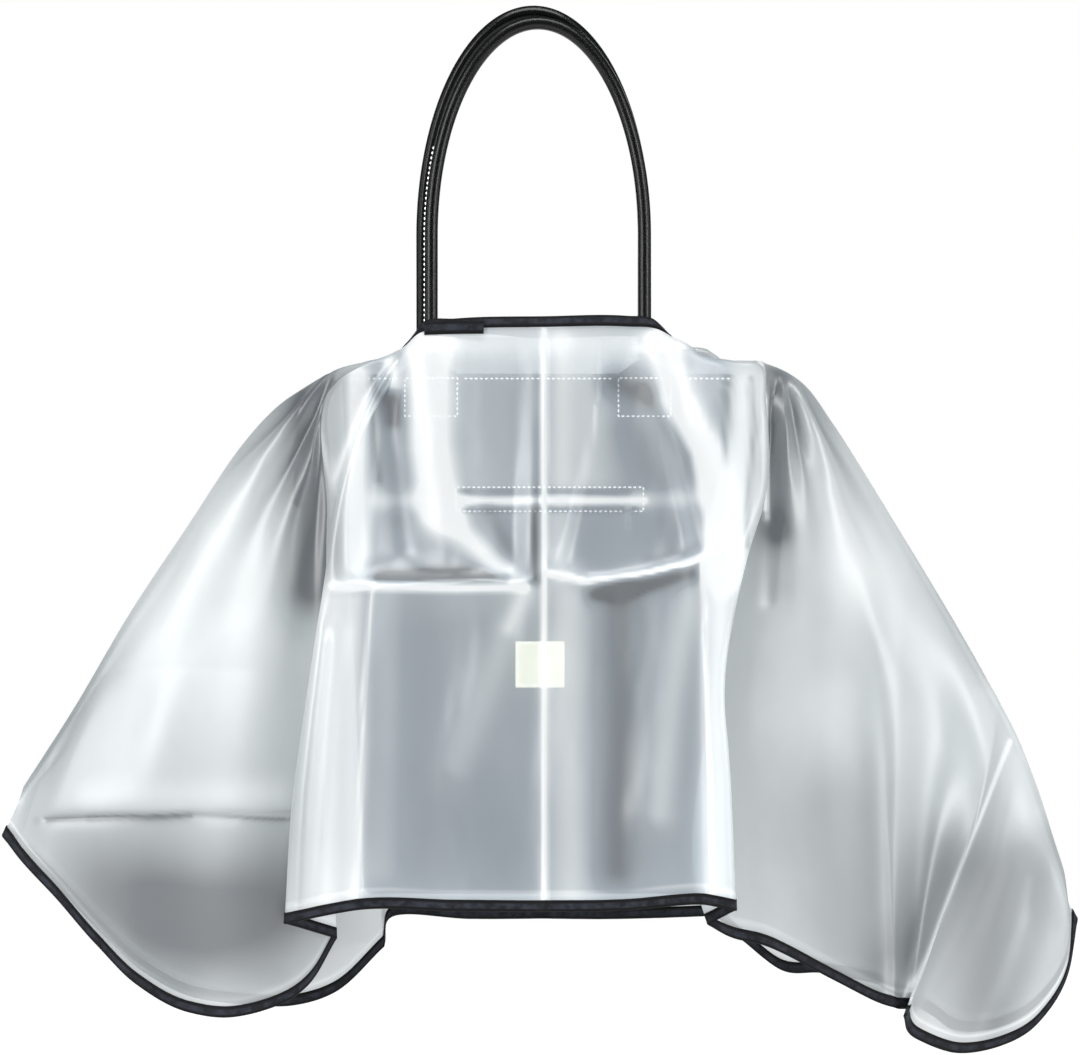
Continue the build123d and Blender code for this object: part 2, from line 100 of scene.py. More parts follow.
# Along one stitch: a share of half its length, its thickness and its rise, in thread radii.
STITCH_SECTION = [
    (-1.0, 0.10, -0.9), (-0.86, 0.62, -0.2), (-0.45, 1.0, 0.35),
    (0.45, 1.0, 0.35), (0.86, 0.62, -0.2), (1.0, 0.10, -0.9),
]

# ---- how cloudy the film is, and the light that pieces give off -------------------------
FILM_HAZE = (0.60, 0.68)
# How much hazier the film grows where it carries painted light or shade.
TONE_HAZE = 0.26
SLANT_HAZE = 0.35
# Painted glow: the film where it carries painted light, the thread and the label give off light, though none
# of them is a lamp.
FILM_GLOW = 0.15
THREAD_GLOW = 1.6
LABEL_GLOW = 1.3

# ---- the handles ----------------------------------------------------------------------
HANDLE_RADIUS = 4.75
PIVOT_Y = 23.5
PIVOT_Z = -232.5
ARCH_CENTRE_Z = -148.0
HANDLE_TOP_Y = 5.2
SEAM_TURN = 0.24
SEAM_TOP_Z = -82.0
HANDLES = {
    "front": {"centre_x": -1.5, "half_width": 76.5, "top_z": 9.4, "side": -1},
    "back": {"centre_x": -4.7, "half_width": 80.0, "top_z": 18.0, "side": 1},
}

# ---- the cape -------------------------------------------------------------------------
BINDING = 1.6
BINDING_WIDTH = 7.0
SEAL_HEIGHT = 12.6
FOLD_HALF_WIDTH = 2.8
DOWN_ROWS = 190
OVER_ROWS = 9
HEM_ROWS = 4
ACROSS_STEP = 2.0

# The neck slit's edge, as a loop seen from above, starting at the front.
NECK_EDGE = [
    (4, -50, -208), (-60, -50, -209.6), (-83, -49, -212), (-88, -44, -218.5), (-93, -32, -225),
    (-95, 0, -231), (-93, 32, -225), (-88, 44, -218.5), (-83, 49, -214), (4, 50, -213.5),
    (80, 49, -213), (87, 43, -217), (92, 31, -221), (95, 0, -225.5), (92, -31, -221),
    (87, -43, -215.5), (80, -49, -209.5), (62, -50, -207.7),
]
# The film's own edge below it, point for point.
NECK_FOOT = [
    (4, -51.3, -214.6), (-60, -51.3, -216.2), (-85, -51, -218.6), (-92, -46, -224.5),
    (-98, -33.5, -230), (-101.5, 0, -236), (-98, 33.5, -230), (-92, 46, -224.5),
    (-85, 51, -220.5), (4, 51.3, -220), (83, 51, -219.5), (92, 45.5, -221),
    (98, 32.5, -226.5), (101.5, 0, -231), (98, -32.5, -226.5), (92, -45.5, -221),
    (83, -51, -216), (62, -51.3, -214.3),
]
LEFT_FOLD = [
    (-92, -46, -224.5), (-112, -43, -250), (-140, -56, -323), (-156, -64, -414),
    (-168, -70, -495), (-175, -72, -546), (-181, -74, -639),
]
RIGHT_FOLD = [
    (92, -45.5, -221), (114, -43, -234.5), (138, -40, -239), (157, -38, -241.5),
    (161, -48, -270), (161, -57, -333), (147, -63, -381), (131, -71, -482), (134, -73, -519),
    (139, -76, -629.5),
]


def rounded_fold(points):
    """A fold line as two lines, its back and its front edge, which start at one point."""
    half = FOLD_HALF_WIDTH
    return [[points[0]] + [(x, y + shift, z) for x, y, z in points[1:]] for shift in (half, -half)]


LEFT_INNER = [(-98, -33.5, -230), (-147, -36, -256), (-152, -45, -350), (-150, -47, -500), (-145, -48, -651)]
RIGHT_INNER = [
    (98, -32.5, -226.5), (140, -31, -250), (126, -42, -330), (119, -48, -379),
    (119, -57, -482), (112, -68, -618), (119, -68, -640),
]
# Lines down the front panel, from the neck to the hem, left to right.
FRONT_COLUMNS = [
    LEFT_INNER,
    *rounded_fold(LEFT_FOLD),
    [(-85, -51, -218.6), (-100, -53, -262), (-122, -70, -480), (-130, -80, -629)],
    [(-60, -51.3, -216.2), (-61, -65, -420), (-62, -80, -629.5)],
    [(4, -51.3, -214.6), (4, -65, -420), (4, -80, -630)],
    [(62, -51.3, -214.3), (62, -65, -420), (62, -80, -629)],
    [(83, -51, -216), (98, -54, -262), (112, -72, -480), (114, -80, -625)],
    *rounded_fold(RIGHT_FOLD)[::-1],
    RIGHT_INNER,
]
BACK_COLUMNS = [
    [(-98, 33.5, -230), (-147, 36, -256), (-144, 53, -350), (-129, 62, -500), (-114, 70, -664)],
    [(-85, 51, -220.5), (-94, 54, -262), (-102, 68, -480), (-109, 78, -643)],
    [(-50, 51.3, -220), (-51, 65, -420), (-52, 79, -644)],
    [(4, 51.3, -220), (4, 65, -420), (4, 79, -644)],
    [(60, 51.3, -219.7), (60, 65, -420), (62, 79, -644)],
    [(83, 51, -219.5), (98, 54, -262), (114, 68, -480), (121, 78, -642)],
    [(98, 32.5, -226.5), (140, 31, -250), (133, 48, -379), (130, 60, -500), (128, 70, -641)],
]
# Lines of the left side, from the ridge over the shoulder and down the front, outwards to the tip.
LEFT_SIDE = [
    [(-101.5, 0, -236)] + LEFT_INNER,
    [(-124, 0, -242), (-127, -25, -243), (-151, -28, -248), (-164, -36, -276), (-168, -44, -340),
     (-168, -48, -500), (-166, -48, -685)],
    [(-147, 0, -245.5), (-152, -20, -249), (-174, -34, -284), (-180, -46, -350),
     (-184, -51, -520), (-186, -53, -698)],
    [(-172, 0, -259), (-176, -13, -264), (-192, -34, -310), (-202, -46, -400),
     (-212, -52, -560), (-223, -54, -707)],
    [(-189, 0, -271), (-191, -10, -276), (-204, -32, -320), (-225, -42, -430),
     (-240, -48, -580), (-252, -49, -703.5)],
    [(-217, 0, -302), (-219, -7, -308), (-234, -24, -350), (-258, -36, -460), (-288, -41, -684.5)],
    [(-253, 0, -356), (-255, -5, -362), (-270, -18, -405), (-293, -28, -510), (-317, -31, -656.5)],
    [(-296, 0, -421), (-298, -4, -427), (-312, -12, -465), (-346, -19, -623.5)],
    [(-338.5, 0, -493), (-340, -3, -498), (-353, -8, -535), (-373, -8, -596)],
    [(-372, 0, -545), (-373, -2.5, -549), (-386.5, -1.2, -581)],
]
LEFT_BACK_HEM = [
    (-114, 70, -664), (-150, 65, -697), (-180, 60, -706), (-221, 54, -704), (-252, 48, -699),
    (-288, 40, -680), (-317, 30, -652), (-346, 18, -620), (-373, 8, -592), (-386.5, 1.2, -580),
]
# The same on the right, where the outer wing carries a standing pleat.
RIGHT_SIDE = [
    [(101.5, 0, -231)] + RIGHT_INNER,
    [(130, 0, -237.5), (134, -22, -239), (153, -27, -246), (164, -34, -272), (156, -42, -335),
     (148, -53, -430), (142, -61, -560), (138, -61, -650)],
    [(157, 0, -239), (161, -15, -243), (176, -28, -275), (174, -42, -340), (166, -55, -500),
     (162, -60, -656)],
    [(187, 0, -252.5), (190, -14, -260), (196, -36, -320), (204, -50, -500), (209, -54, -680)],
    [(211, 0, -283.5), (213, -8, -290), (222, -30, -350), (232, -44, -520), (238, -52, -695)],
    [(258, 0, -359), (258, -6, -366), (255, -34, -450), (252, -50, -580), (254, -57, -700)],
    [(303, 0, -434), (302, -6, -442), (292, -26, -520), (263, -46, -702)],
    [(330, 0, -482), (329, -6, -490), (313, -46, -560), (258.5, -76, -704)],
    [(345, 0, -512), (344, -4, -519), (322, -26, -600), (268, -52, -722)],
    [(353, 0, -532), (353, -3, -538), (338, -22, -620), (298, -42, -733)],
    [(361, 0, -554), (361, -3, -560), (352, -16, -640), (331, -31, -728.5)],
    [(369.5, 0, -581), (370, -2.5, -587), (367, -12, -650), (358, -19, -712.5)],
    [(378, 0, -609), (378.5, -2.5, -615), (380, -8, -677)],
    [(379, 0, -622), (380, -3, -627), (386.5, -1.2, -641)],
]
RIGHT_BACK_HEM = [
    (128, 70, -641), (150, 66, -661), (175, 62, -680), (205, 56, -682), (240, 50, -688),
    (252, 47, -694), (260, 46, -698), (268, 44, -702), (285, 41, -712), (302, 38, -722),
    (331, 28, -720), (358, 17, -704), (380, 8, -670), (386.5, 1.2, -640),
]
LOBE_RIDGE = 7

# ---- creases and folds ------------------------------------------------------------------
# Each is (kind, height, width, points in x and z), in millimetres; a height below 0 is a hollow.
FRONT_CREASES = [
    ("ridge", 3.6, 7.0, [(4, -215), (3, -400), (4, -645)]),
    ("ledge", 8.0, 40.0, [(-141, -398), (-100, -399), (-50, -397), (-6, -398)]),
    ("ledge", 6.0, 34.0, [(8, -390), (34, -396), (76, -391), (117, -382)]),
    ("fold", -8.0, 18.0, [(-114, -246), (-104, -302), (-98, -372)]),
    ("fold", 9.0, 26.0, [(-76, -222), (-72, -302), (-64, -350), (-44, -388)]),
    ("fold", 9.0, 22.0, [(84, -220), (100, -281), (116, -324), (126, -376)]),
    ("fold", 4.0, 24.0, [(-8, -410), (-30, -460), (-58, -526)]),
    ("fold", -4.0, 32.0, [(-84, -430), (-84, -520), (-84, -600)]),
    ("fold", -4.5, 22.0, [(48, -405), (52, -500), (50, -600)]),
    ("fold", 4.0, 18.0, [(108, -403), (94, -480), (80, -560)]),
    ("ridge", 4.0, 7.0, [(-120, -402), (-126, -480), (-129, -625)]),
    ("fold", -3.0, 7.0, [(-144, -430), (-152, -540), (-158, -630)]),
    ("fold", 3.0, 6.0, [(-156, -440), (-166, -540), (-171, -630)]),
    ("ridge", 3.5, 6.0, [(117, -384), (120, -480), (123, -625)]),
]
LEFT_CREASES = [
    ("tent", 10.0, 105.0, [(-352, -568), (-250, -563), (-178, -566)]),
    ("ridge", -2.6, 4.0, [(-352, -568), (-250, -563), (-178, -566)]),
    ("fold", -6.0, 34.0, [(-262, -575), (-252, -640), (-236, -690)]),
    ("fold", -4.0, 40.0, [(-214, -420), (-222, -500), (-226, -560)]),
]
RIGHT_CREASES = [
    ("fold", -4.0, 9.0, [(170, -262), (169, -330), (166, -410)]),
    ("ridge", 4.0, 5.0, [(158, -242), (161, -300), (160, -352)]),
    ("fold", -5.0, 36.0, [(216, -470), (228, -560), (238, -660)]),
    ("fold", -5.0, 18.0, [(352, -610), (330, -680), (312, -725)]),
]
# Painted light (above 0) and painted shade (below 0) on the film: glare bands, bright rims, dark hollows and
# fold shade, as strength, half width, points in x and z.
FRONT_LIGHT_AND_SHADE = [
    (0.6, 14, [(-82, -228), (0, -224), (80, -226)]),
    (1.7, 15, [(-79, -232), (-78, -300), (-71, -346)]),
    (1.2, 10, [(-70, -346), (-46, -370), (-27, -390)]),
    (-0.5, 7, [(-38, -346), (-20, -376)]),
    (0.2, 26, [(-32, -250), (-28, -330)]),
    (1.3, 9, [(-130, -250), (-130, -300), (-129, -386)]),
    (-0.8, 2.2, [(-118, -252), (-114, -324)]),
    (0.9, 5, [(-107, -240), (-104, -257)]),
    (-0.8, 6, [(-104, -264), (-104, -282)]),
    (-0.45, 10, [(-103, -270), (-99, -350)]),
    (0.45, 9, [(15, -226), (15, -300), (14, -392)]),
    (-0.6, 2.0, [(-2.5, -250), (-2.5, -345)]),
    (-1.1, 3.4, [(-4, -350), (-3.5, -396)]),
    (1.2, 1.8, [(2.6, -218), (2.2, -400), (3.4, -640)]),
    (0.5, 20, [(34, -250), (34, -320)]),
    (-0.95, 11, [(52, -254), (74, -264)]),
    (1.8, 11, [(90, -226), (96, -266), (118, -303), (128, -350), (131, -384)]),
    (-0.6, 5, [(74, -258), (84, -278), (102, -310), (111, -350), (114, -368)]),
    (-0.3, 13, [(64, -290), (84, -330), (92, -366)]),
    (0.8, 13, [(145, -256), (143, -300), (135, -392)]),
    (-0.6, 2.4, [(133, -250), (131.5, -300), (130, -345)]),
    (-0.6, 2.0, [(150, -252), (152, -290), (146, -372)]),
    (0.6, 8, [(-112, -338), (-64, -338)]),
    (0.6, 8, [(74, -338), (108, -338)]),
    (0.9, 3.0, [(-54, -339), (74, -338.5)]),
    (-0.5, 2.4, [(-58, -332.5), (62, -332.5)]),
    (-0.5, 2.2, [(-54, -346), (68, -345.5)]),
    (-0.35, 9, [(-122, -389), (-80, -384), (-30, -389)]),
    (-1.6, 5.5, [(-114, -394), (-80, -392.5), (-42, -393), (-26, -395.5)]),
    (1.8, 2.8, [(-146, -400), (-60, -402), (-11, -401.5)]),
    (1.3, 2.4, [(6, -391.5), (33, -397.5), (76, -390.5), (116, -380.5)]),
    (-0.4, 4, [(76, -381), (112, -373)]),
    (-0.9, 6.0, [(38, -406), (72, -401), (108, -392)]),
    (-0.35, 10, [(-46, -358), (-30, -374)]),
    (0.4, 6, [(-10, -403), (-22, -430)]),
    (-0.25, 12, [(44, -402), (104, -396)]),
    (0.75, 17, [(-148, -412), (-150, -500), (-151, -640)]),
    (0.4, 6, [(-132, -410), (-133, -620)]),
    (0.85, 12, [(128, -398), (127, -500), (127, -640)]),
    (0.5, 15, [(20, -410), (22, -620)]),
    (-0.8, 15, [(58, -410), (58, -500), (56, -600)]),
    (-0.12, 34, [(-85, -440), (-85, -600)]),
    (0.45, 10, [(106, -404), (94, -480), (84, -560)]),
    (0.3, 12, [(-12, -408), (-34, -460), (-58, -526)]),
    (0.25, 12, [(-110, -400), (-108, -460), (-112, -600)]),
]
# Painted light and shade on the left side sheet, in the same form.
LEFT_LIGHT_AND_SHADE = [
    (0.34, 60, [(-222, -370), (-236, -470)]),
    (-1.25, 23, [(-161, -258), (-162, -330), (-162, -400)]),
    (-0.9, 2.6, [(-150, -255), (-163, -267), (-170, -290), (-173, -340)]),
    (-0.8, 3.0, [(-147, -257), (-154, -275), (-156, -320), (-153, -350)]),
    (0.9, 1.4, [(-157, -270), (-148, -335)]),
    (-0.8, 44, [(-310, -614), (-240, -626), (-190, -616)]),
    (-0.6, 50, [(-270, -656), (-200, -664)]),
    (0.35, 13, [(-320, -551), (-190, -549)]),
    (-0.9, 2.2, [(-320, -567), (-250, -564)]),
    (-0.35, 3, [(-360, -569), (-184, -566)]),
    (-0.3, 30, [(-350, -520), (-300, -470)]),
]
# Painted light and shade on the right side sheet, in the same form.
RIGHT_LIGHT_AND_SHADE = [
    (-0.9, 13, [(171, -250), (171, -320), (170, -360)]),
    (-0.4, 16, [(170, -360), (170, -400)]),
    (1.2, 1.6, [(157, -242), (162, -278), (161, -345)]),
    (-0.4, 3, [(150, -253), (152.5, -290), (146, -375)]),
    (0.42, 36, [(224, -310), (234, -380)]),
    (-0.6, 44, [(212, -560), (226, -660)]),
    (-0.45, 22, [(290, -590), (270, -640), (246, -690)]),
    (-0.75, 40, [(326, -610), (320, -700)]),
    (1.1, 1.6, [(338, -512), (300, -598), (258.5, -700)]),
    (0.4, 20, [(330, -480), (356, -560)]),
]
# Painted light laid evenly over both side sheets: whiter, hazier and glowing.
SIDE_PAINTED_LIGHT = 0.04
# Gathers fan out below each shoulder point: centre x and z, folds across the fan, height, reach.
GATHERS = {
    "left": {"centre": (-142, -232), "count": 17.0, "height": 8.0, "reach": 130.0},
    "right": {"centre": (172, -228), "count": 17.0, "height": 7.0, "reach": 120.0},
}


# ---- curves and grids -----------------------------------------------------------------
def smooth(knots, values, at, corners=()):
    """Values on a smooth curve through the knots, with a corner at each knot that is listed."""
    knots = np.asarray(knots, float)
    values = np.asarray(values, float)
    flat = values.reshape(len(knots), -1)
    steps = np.diff(knots)[:, None]
    secants = np.diff(flat, axis=0) / steps
    arriving = np.vstack([secants[:1], secants])
    leaving = np.vstack([secants, secants[-1:]])
    for knot in range(1, len(knots) - 1):
        if knot in corners:
            continue
        before, after = steps[knot - 1], steps[knot]
        slope = (before * secants[knot] + after * secants[knot - 1]) / (before + after)
        arriving[knot] = leaving[knot] = slope
    at = np.asarray(at, float)
    span = np.clip(np.searchsorted(knots, at, "right") - 1, 0, len(knots) - 2)
    width = steps[span]
    t = ((at - knots[span]) / width[:, 0])[:, None]
    result = (
        (2 * t**3 - 3 * t**2 + 1) * flat[span]
        + (t**3 - 2 * t**2 + t) * width * leaving[span]
        + (3 * t**2 - 2 * t**3) * flat[span + 1]
        + (t**3 - t**2) * width * arriving[span + 1]
    )
    return result.reshape((len(at),) + values.shape[1:])


def run_lengths(points):
    """Length along a line of points, from 0 at its first point."""
    return np.concatenate([[0.0], np.cumsum(np.linalg.norm(np.diff(points, axis=0), axis=1))])


def hem_shares(length):
    """Rows down a line: evenly to the top of its hem binding, then through the binding."""
    top = 1.0 - BINDING_WIDTH * MM / length
    return np.concatenate([np.linspace(0, top, DOWN_ROWS), np.linspace(top, 1, HEM_ROWS)[1:]])


def panel_line(points):
    """One line down a panel, from the neck to the hem."""
    points = np.array(points, float) * MM
    knots = run_lengths(points)
    return smooth(knots, points, hem_shares(knots[-1]) * knots[-1])


def side_line(front, back, corner):
    """One line of a side, from the front hem up over the ridge and down to the back hem."""
    points = np.array(list(front[::-1]) + list(back[1:]), float) * MM
    knots = run_lengths(points)
    shoulders = (len(front) - 2, len(front))
    ridge = knots[len(front) - 1]
    near, far = knots[shoulders[0]], knots[shoulders[1]]
    rows = np.concatenate([
        near - hem_shares(near)[::-1] * near,
        np.linspace(near, ridge, OVER_ROWS)[1:],
        np.linspace(ridge, far, OVER_ROWS)[1:],
        far + hem_shares(knots[-1] - far)[1:] * (knots[-1] - far),
    ])
    return smooth(knots, points, rows, shoulders if corner else ())


def mirrored(points, hem):
    """A front line turned to the back, leaning so that it ends at its own hem point."""
    points = np.array(points, float)
    shares = run_lengths(points)
    shares = (shares / shares[-1])[:, None]
    turned = points * (1, -1, 1)
    return turned + (np.array(hem, float) - turned[-1]) * shares


def across(lines, corners=()):
    """A grid of points from lines side by side: columns across, rows down, and where the lines are."""
    lines = np.array(lines)
    gaps = np.linalg.norm(np.diff(lines, axis=0), axis=2).mean(axis=1)
    knots = np.concatenate([[0.0], np.cumsum(gaps)])
    places = [0.0]
    for start, end in zip(knots, knots[1:]):
        count = max(2, int(round((end - start) / (ACROSS_STEP * MM))))
        places += list(np.linspace(start, end, count + 1)[1:])
    places = np.array(places)
    return smooth(knots, lines, places, corners), places, knots


def grid_normals(grid):
    """Unit normals of a grid of points."""
    over = np.gradient(grid, axis=0)
    down = np.gradient(grid, axis=1)
    normals = np.cross(over, down)
    return normals / np.maximum(np.linalg.norm(normals, axis=2, keepdims=True), 1e-9)


def ease(t):
    t = np.clip(t, 0, 1)
    return t * t * (3 - 2 * t)


# ---- relief ---------------------------------------------------------------------------
def line_distance(x, z, line):
    """Distance from a line in the x-z plane, which side a point is on (+1 above), and its share along."""
    line = np.array(line, float) * MM
    lengths = run_lengths(line)
    best = np.full(x.shape, 1e9)
    side = np.ones(x.shape)
    share = np.zeros(x.shape)
    for start, end, before in zip(line, line[1:], lengths):
        run = end - start
        t = ((x - start[0]) * run[0] + (z - start[1]) * run[1]) / (run @ run)
        t = np.clip(t, 0, 1)
        dx = x - start[0] - t * run[0]
        dz = z - start[1] - t * run[1]
        distance = np.hypot(dx, dz)
        nearer = distance < best
        best = np.where(nearer, distance, best)
        side = np.where(nearer, np.sign(run[0] * dz - run[1] * dx + 1e-12), side)
        share = np.where(nearer, (before + t * np.hypot(*run)) / lengths[-1], share)
    return best, side, share


def paint_light_and_shade(x, z, lights_and_shades):
    """Painted light (above 0) and painted shade (below 0) on the film at each point."""
    tone = np.zeros(x.shape)
    for strength, width, line in lights_and_shades:
        distance = line_distance(x, z, line)[0]
        tone += strength * np.exp(-((distance / (width * MM)) ** 2))
    return tone


def crease_relief(x, z, creases):
    """Height of all creases at each point, and the painted highlight lines they give the film: bright along
    ridges, tents and ledges, shade along hollow ridges.
    """
    height = np.zeros(x.shape)
    tone = np.zeros(x.shape)
    for kind, rise, width, line in creases:
        distance, side, share = line_distance(x, z, line)
        rise, width = rise * MM, width * MM
        ends = ease(share / 0.12) * ease((1 - share) / 0.12)
        if kind == "ridge":
            height += rise * np.exp(-distance / width)
            # A painted highlight line along a ridge's crest, a painted shade line along a hollow one.
            tone += np.sign(rise) * 0.9 * np.exp(-((distance / (1.6 * MM)) ** 2))
        elif kind == "fold":
            height += rise * np.exp(-((distance / width) ** 2))
        elif kind == "tent":
            height += rise * np.clip(1 - distance / width, 0, 1)
            # A painted highlight line along the tent's crest.
            tone += 0.35 * np.exp(-((distance / (1.5 * MM)) ** 2))
        else:
            above = np.exp(-distance / (0.12 * width)) - 0.9 * distance / width * np.exp(1 - distance / width)
            below = np.exp(-distance / width)
            shape = np.where(side > 0, above, below)
            height += rise * (ends * shape + (1 - ends) * np.exp(-distance / (0.3 * width)))
            # A painted highlight along the ledge's bright rim.
            tone += 0.8 * ends * np.exp(-((distance / (2.0 * MM)) ** 2))
    return height, tone


def gather_relief(x, z, spec):
    """Folds that fan out below a shoulder point: their height, and the painted shade in the valleys between
    them.
    """
    cx, cz = np.array(spec["centre"]) * MM
    dx, dz = x - cx, cz - z
    radius = np.hypot(dx, dz)
    angle = np.arctan2(dx, dz)
    start = ease((radius - 14 * MM) / (60 * MM))
    fall = np.exp(-((radius / (spec["reach"] * MM)) ** 2))
    wave = np.sin(spec["count"] * angle + 1.3 * np.sin(2.7 * angle) + 9 * radius)
    return spec["height"] * MM * start * fall * wave, start * fall * np.clip(-wave, 0, 1) ** 1.5


def wrinkles(grid, scale, height, seed):
    """Small uneven dents, longer down the sheet than across."""
    columns, rows = grid.shape[:2]
    result = np.zeros((columns, rows))
    for i in range(columns):
        for j in range(rows):
            x, y, z = grid[i, j]
            place = Vector((x * scale, y * scale * 0.6, z * scale * 0.35)) + Vector((seed, 0, 0))
            result[i, j] = noise.fractal(place, 0.9, 2.1, 3)
    return result * height * MM


# ---- meshes ---------------------------------------------------------------------------
def new_object(name, points, faces):
    """A smooth-shaded mesh from points in metres."""
    mesh = bpy.data.meshes.new(name)
    mesh.from_pydata([tuple(p) for p in points], [], faces)
    mesh.update()
    obj = bpy.data.objects.new(name, mesh)
    bpy.context.scene.collection.objects.link(obj)
    mesh.shade_smooth()
    return obj


def set_uv(obj, values):
    """One pair of numbers per point, as the piece's UV map."""
    layer = obj.data.uv_layers.new(name="along")
    corners = np.zeros(len(obj.data.loops), int)
    obj.data.loops.foreach_get("vertex_index", corners)
    layer.data.foreach_set("uv", np.asarray(values, np.float32)[corners].ravel())


def set_value(obj, name, values):
    attribute = obj.data.attributes.new(name, "FLOAT", "POINT")
    attribute.data.foreach_set("value", np.asarray(values, np.float32).ravel())


def grid_object(name, grid, places=None, closed=False):
    """A mesh from a grid of points; equal neighbours are left unmerged."""
    columns, rows = grid.shape[:2]
    faces = []
    for i in range(columns if closed else columns - 1):
        k = (i + 1) % columns
        for j in range(rows - 1):
            faces.append((i * rows + j, k * rows + j, k * rows + j + 1, i * rows + j + 1))
    obj = new_object(name, grid.reshape(-1, 3), faces)
    if places is not None:
        lengths = np.linspace(0, 1, rows)
        uv = np.stack(np.broadcast_arrays(places[:, None], lengths[None, :]), axis=2)
        set_uv(obj, uv.reshape(-1, 2))
    return obj


def ring_object(name, grid, closed=False):
    """A tube from a grid of rings, with both ends capped unless it runs round to its start."""
    count, size = grid.shape[:2]
    faces = []
    for i in range(count if closed else count - 1):
        k = (i + 1) % count
        for j in range(size):
            m = (j + 1) % size
            faces.append((i * size + j, k * size + j, k * size + m, i * size + m))
    if not closed:
        faces.append(tuple(range(size)))
        last = (count - 1) * size
        faces.append(tuple(last + j for j in range(size - 1, -1, -1)))
    return new_object(name, grid.reshape(-1, 3), faces)


TAPE_SECTION = [
    (-0.10, 0.35), (-0.08, 0.85), (0.10, 1.0), (0.30, 0.86), (0.70, 0.86), (0.90, 1.0), (1.03, 0.62),
    (1.07, 0.0), (1.03, -0.62), (0.90, -1.0), (0.70, -0.86), (0.30, -0.86), (0.10, -1.0),
    (-0.08, -0.85), (-0.10, -0.35),
]


def tape(name, top, foot, closed=False, half=0.5 * BINDING, spacing=1.6):
    """Folded binding tape between two lines of points: top is on the film, foot is the tape's fold."""
    middle = (top + foot) / 2
    if closed:
        top = np.vstack([top, top[:1]])
        foot = np.vstack([foot, foot[:1]])
        middle = np.vstack([middle, middle[:1]])
    knots = run_lengths(middle)
    keep = np.concatenate([[True], np.diff(knots) > 0.15 * MM])
    knots, top, foot = knots[keep], top[keep], foot[keep]
    count = int(knots[-1] / (spacing * MM))
    at = np.linspace(0, knots[-1], count + 1)
    if closed:
        at = at[:-1]
    top = smooth(knots, top, at)
    foot = smooth(knots, foot, at)
    middle = (top + foot) / 2
    if closed:
        tangent = np.roll(middle, -1, axis=0) - np.roll(middle, 1, axis=0)
    else:
        tangent = np.gradient(middle, axis=0)
    fall = foot - top
    normal = np.cross(tangent, fall)
    normal /= np.linalg.norm(normal, axis=1, keepdims=True)
    ripple = np.array([noise.noise(Vector((t * 90, 3.1, 0))) for t in at])[:, None]
    rings = []
    for share, depth in TAPE_SECTION:
        rings.append(top + fall * share + normal * (half * MM * depth * (1 + 0.25 * ripple)))
    grid = np.stack(rings, axis=1)
    obj = ring_object(name, grid, closed)
    shares = np.array([share for share, _ in TAPE_SECTION])
    set_uv(obj, np.stack(np.broadcast_arrays(at[:, None], shares[None, :]), axis=2).reshape(-1, 2))
    return obj


# ---- materials ------------------------------------------------------------------------
class Nodes:
    """A material's node tree, with short ways to add and join nodes."""

    def __init__(self, name):
        self.material = bpy.data.materials.new(name)
        self.material.use_nodes = True
        self.tree = self.material.node_tree
        self.tree.nodes.clear()
        self.output = self.tree.nodes.new("ShaderNodeOutputMaterial")

    def add(self, kind, links=None, **values):
        """A node; values set its properties or its unlinked sockets, links its linked sockets."""
        node = self.tree.nodes.new("ShaderNode" + kind)
        for key, value in values.items():
            if hasattr(node, key) and key not in node.inputs:
                setattr(node, key, value)
            else:
                node.inputs[key.replace("_", " ") if isinstance(key, str) else key].default_value = value
        for key, source in (links or {}).items():
            self.tree.links.new(source, node.inputs[key])
        return node

    def noise(self, scale, detail=4.0, source=None, stretch=(1, 1, 1)):
        """Noise over the object's own coordinates."""
        coords = source or self.add("TexCoord").outputs["Object"]
        mapping = self.add("Mapping", {"Vector": coords})
        mapping.inputs["Scale"].default_value = stretch
        texture = self.add("TexNoise", {"Vector": mapping.outputs[0]})
        texture.inputs["Scale"].default_value = scale
        texture.inputs["Detail"].default_value = detail
        return texture.outputs[0]

    def ramp(self, source, stops):
        """A colour ramp with (place, colour) stops."""
        node = self.add("ValToRGB", {0: source})
        elements = node.color_ramp.elements
        for element, (place, colour) in zip(elements, stops):
            element.position = place
            element.color = (*colour, 1)
        for place, colour in stops[2:]:
            element = elements.new(place)
            element.color = (*colour, 1)
        return node.outputs[0]

    def maths(self, operation, *values):
        node = self.add("Math", operation=operation)
        for socket, value in zip(node.inputs, values):
            if isinstance(value, (int, float)):
                socket.default_value = value
            else:
                self.tree.links.new(value, socket)
        return node.outputs[0]

    def remap(self, source, low, high, new_low, new_high):
        node = self.add("MapRange", {"Value": source})
        for key, value in zip(("From Min", "From Max", "To Min", "To Max"), (low, high, new_low, new_high)):
            node.inputs[key].default_value = value
        return node.outputs[0]

    def bump(self, height, distance, strength=1.0, normal=None):
        node = self.add("Bump", {"Height": height})
        node.inputs["Distance"].default_value = distance
        node.inputs["Strength"].default_value = strength
        if normal is not None:
            self.tree.links.new(normal, node.inputs["Normal"])
        return node.outputs[0]

    def mix_colour(self, share, first, second):
        """The first colour, or the fixed second one as far as share says."""
        node = self.add("Mix", {"Factor": share, 6: first}, data_type="RGBA")
        node.inputs[7].default_value = (*second, 1)
        return node.outputs[2]

    def mix_shader(self, share, first, second):
        node = self.add("MixShader", {1: first, 2: second})
        if isinstance(share, (int, float)):
            node.inputs[0].default_value = share
        else:
            self.tree.links.new(share, node.inputs[0])
        return node.outputs[0]

    def finish(self, shader):
        self.tree.links.new(shader, self.output.inputs["Surface"])
        return self.material


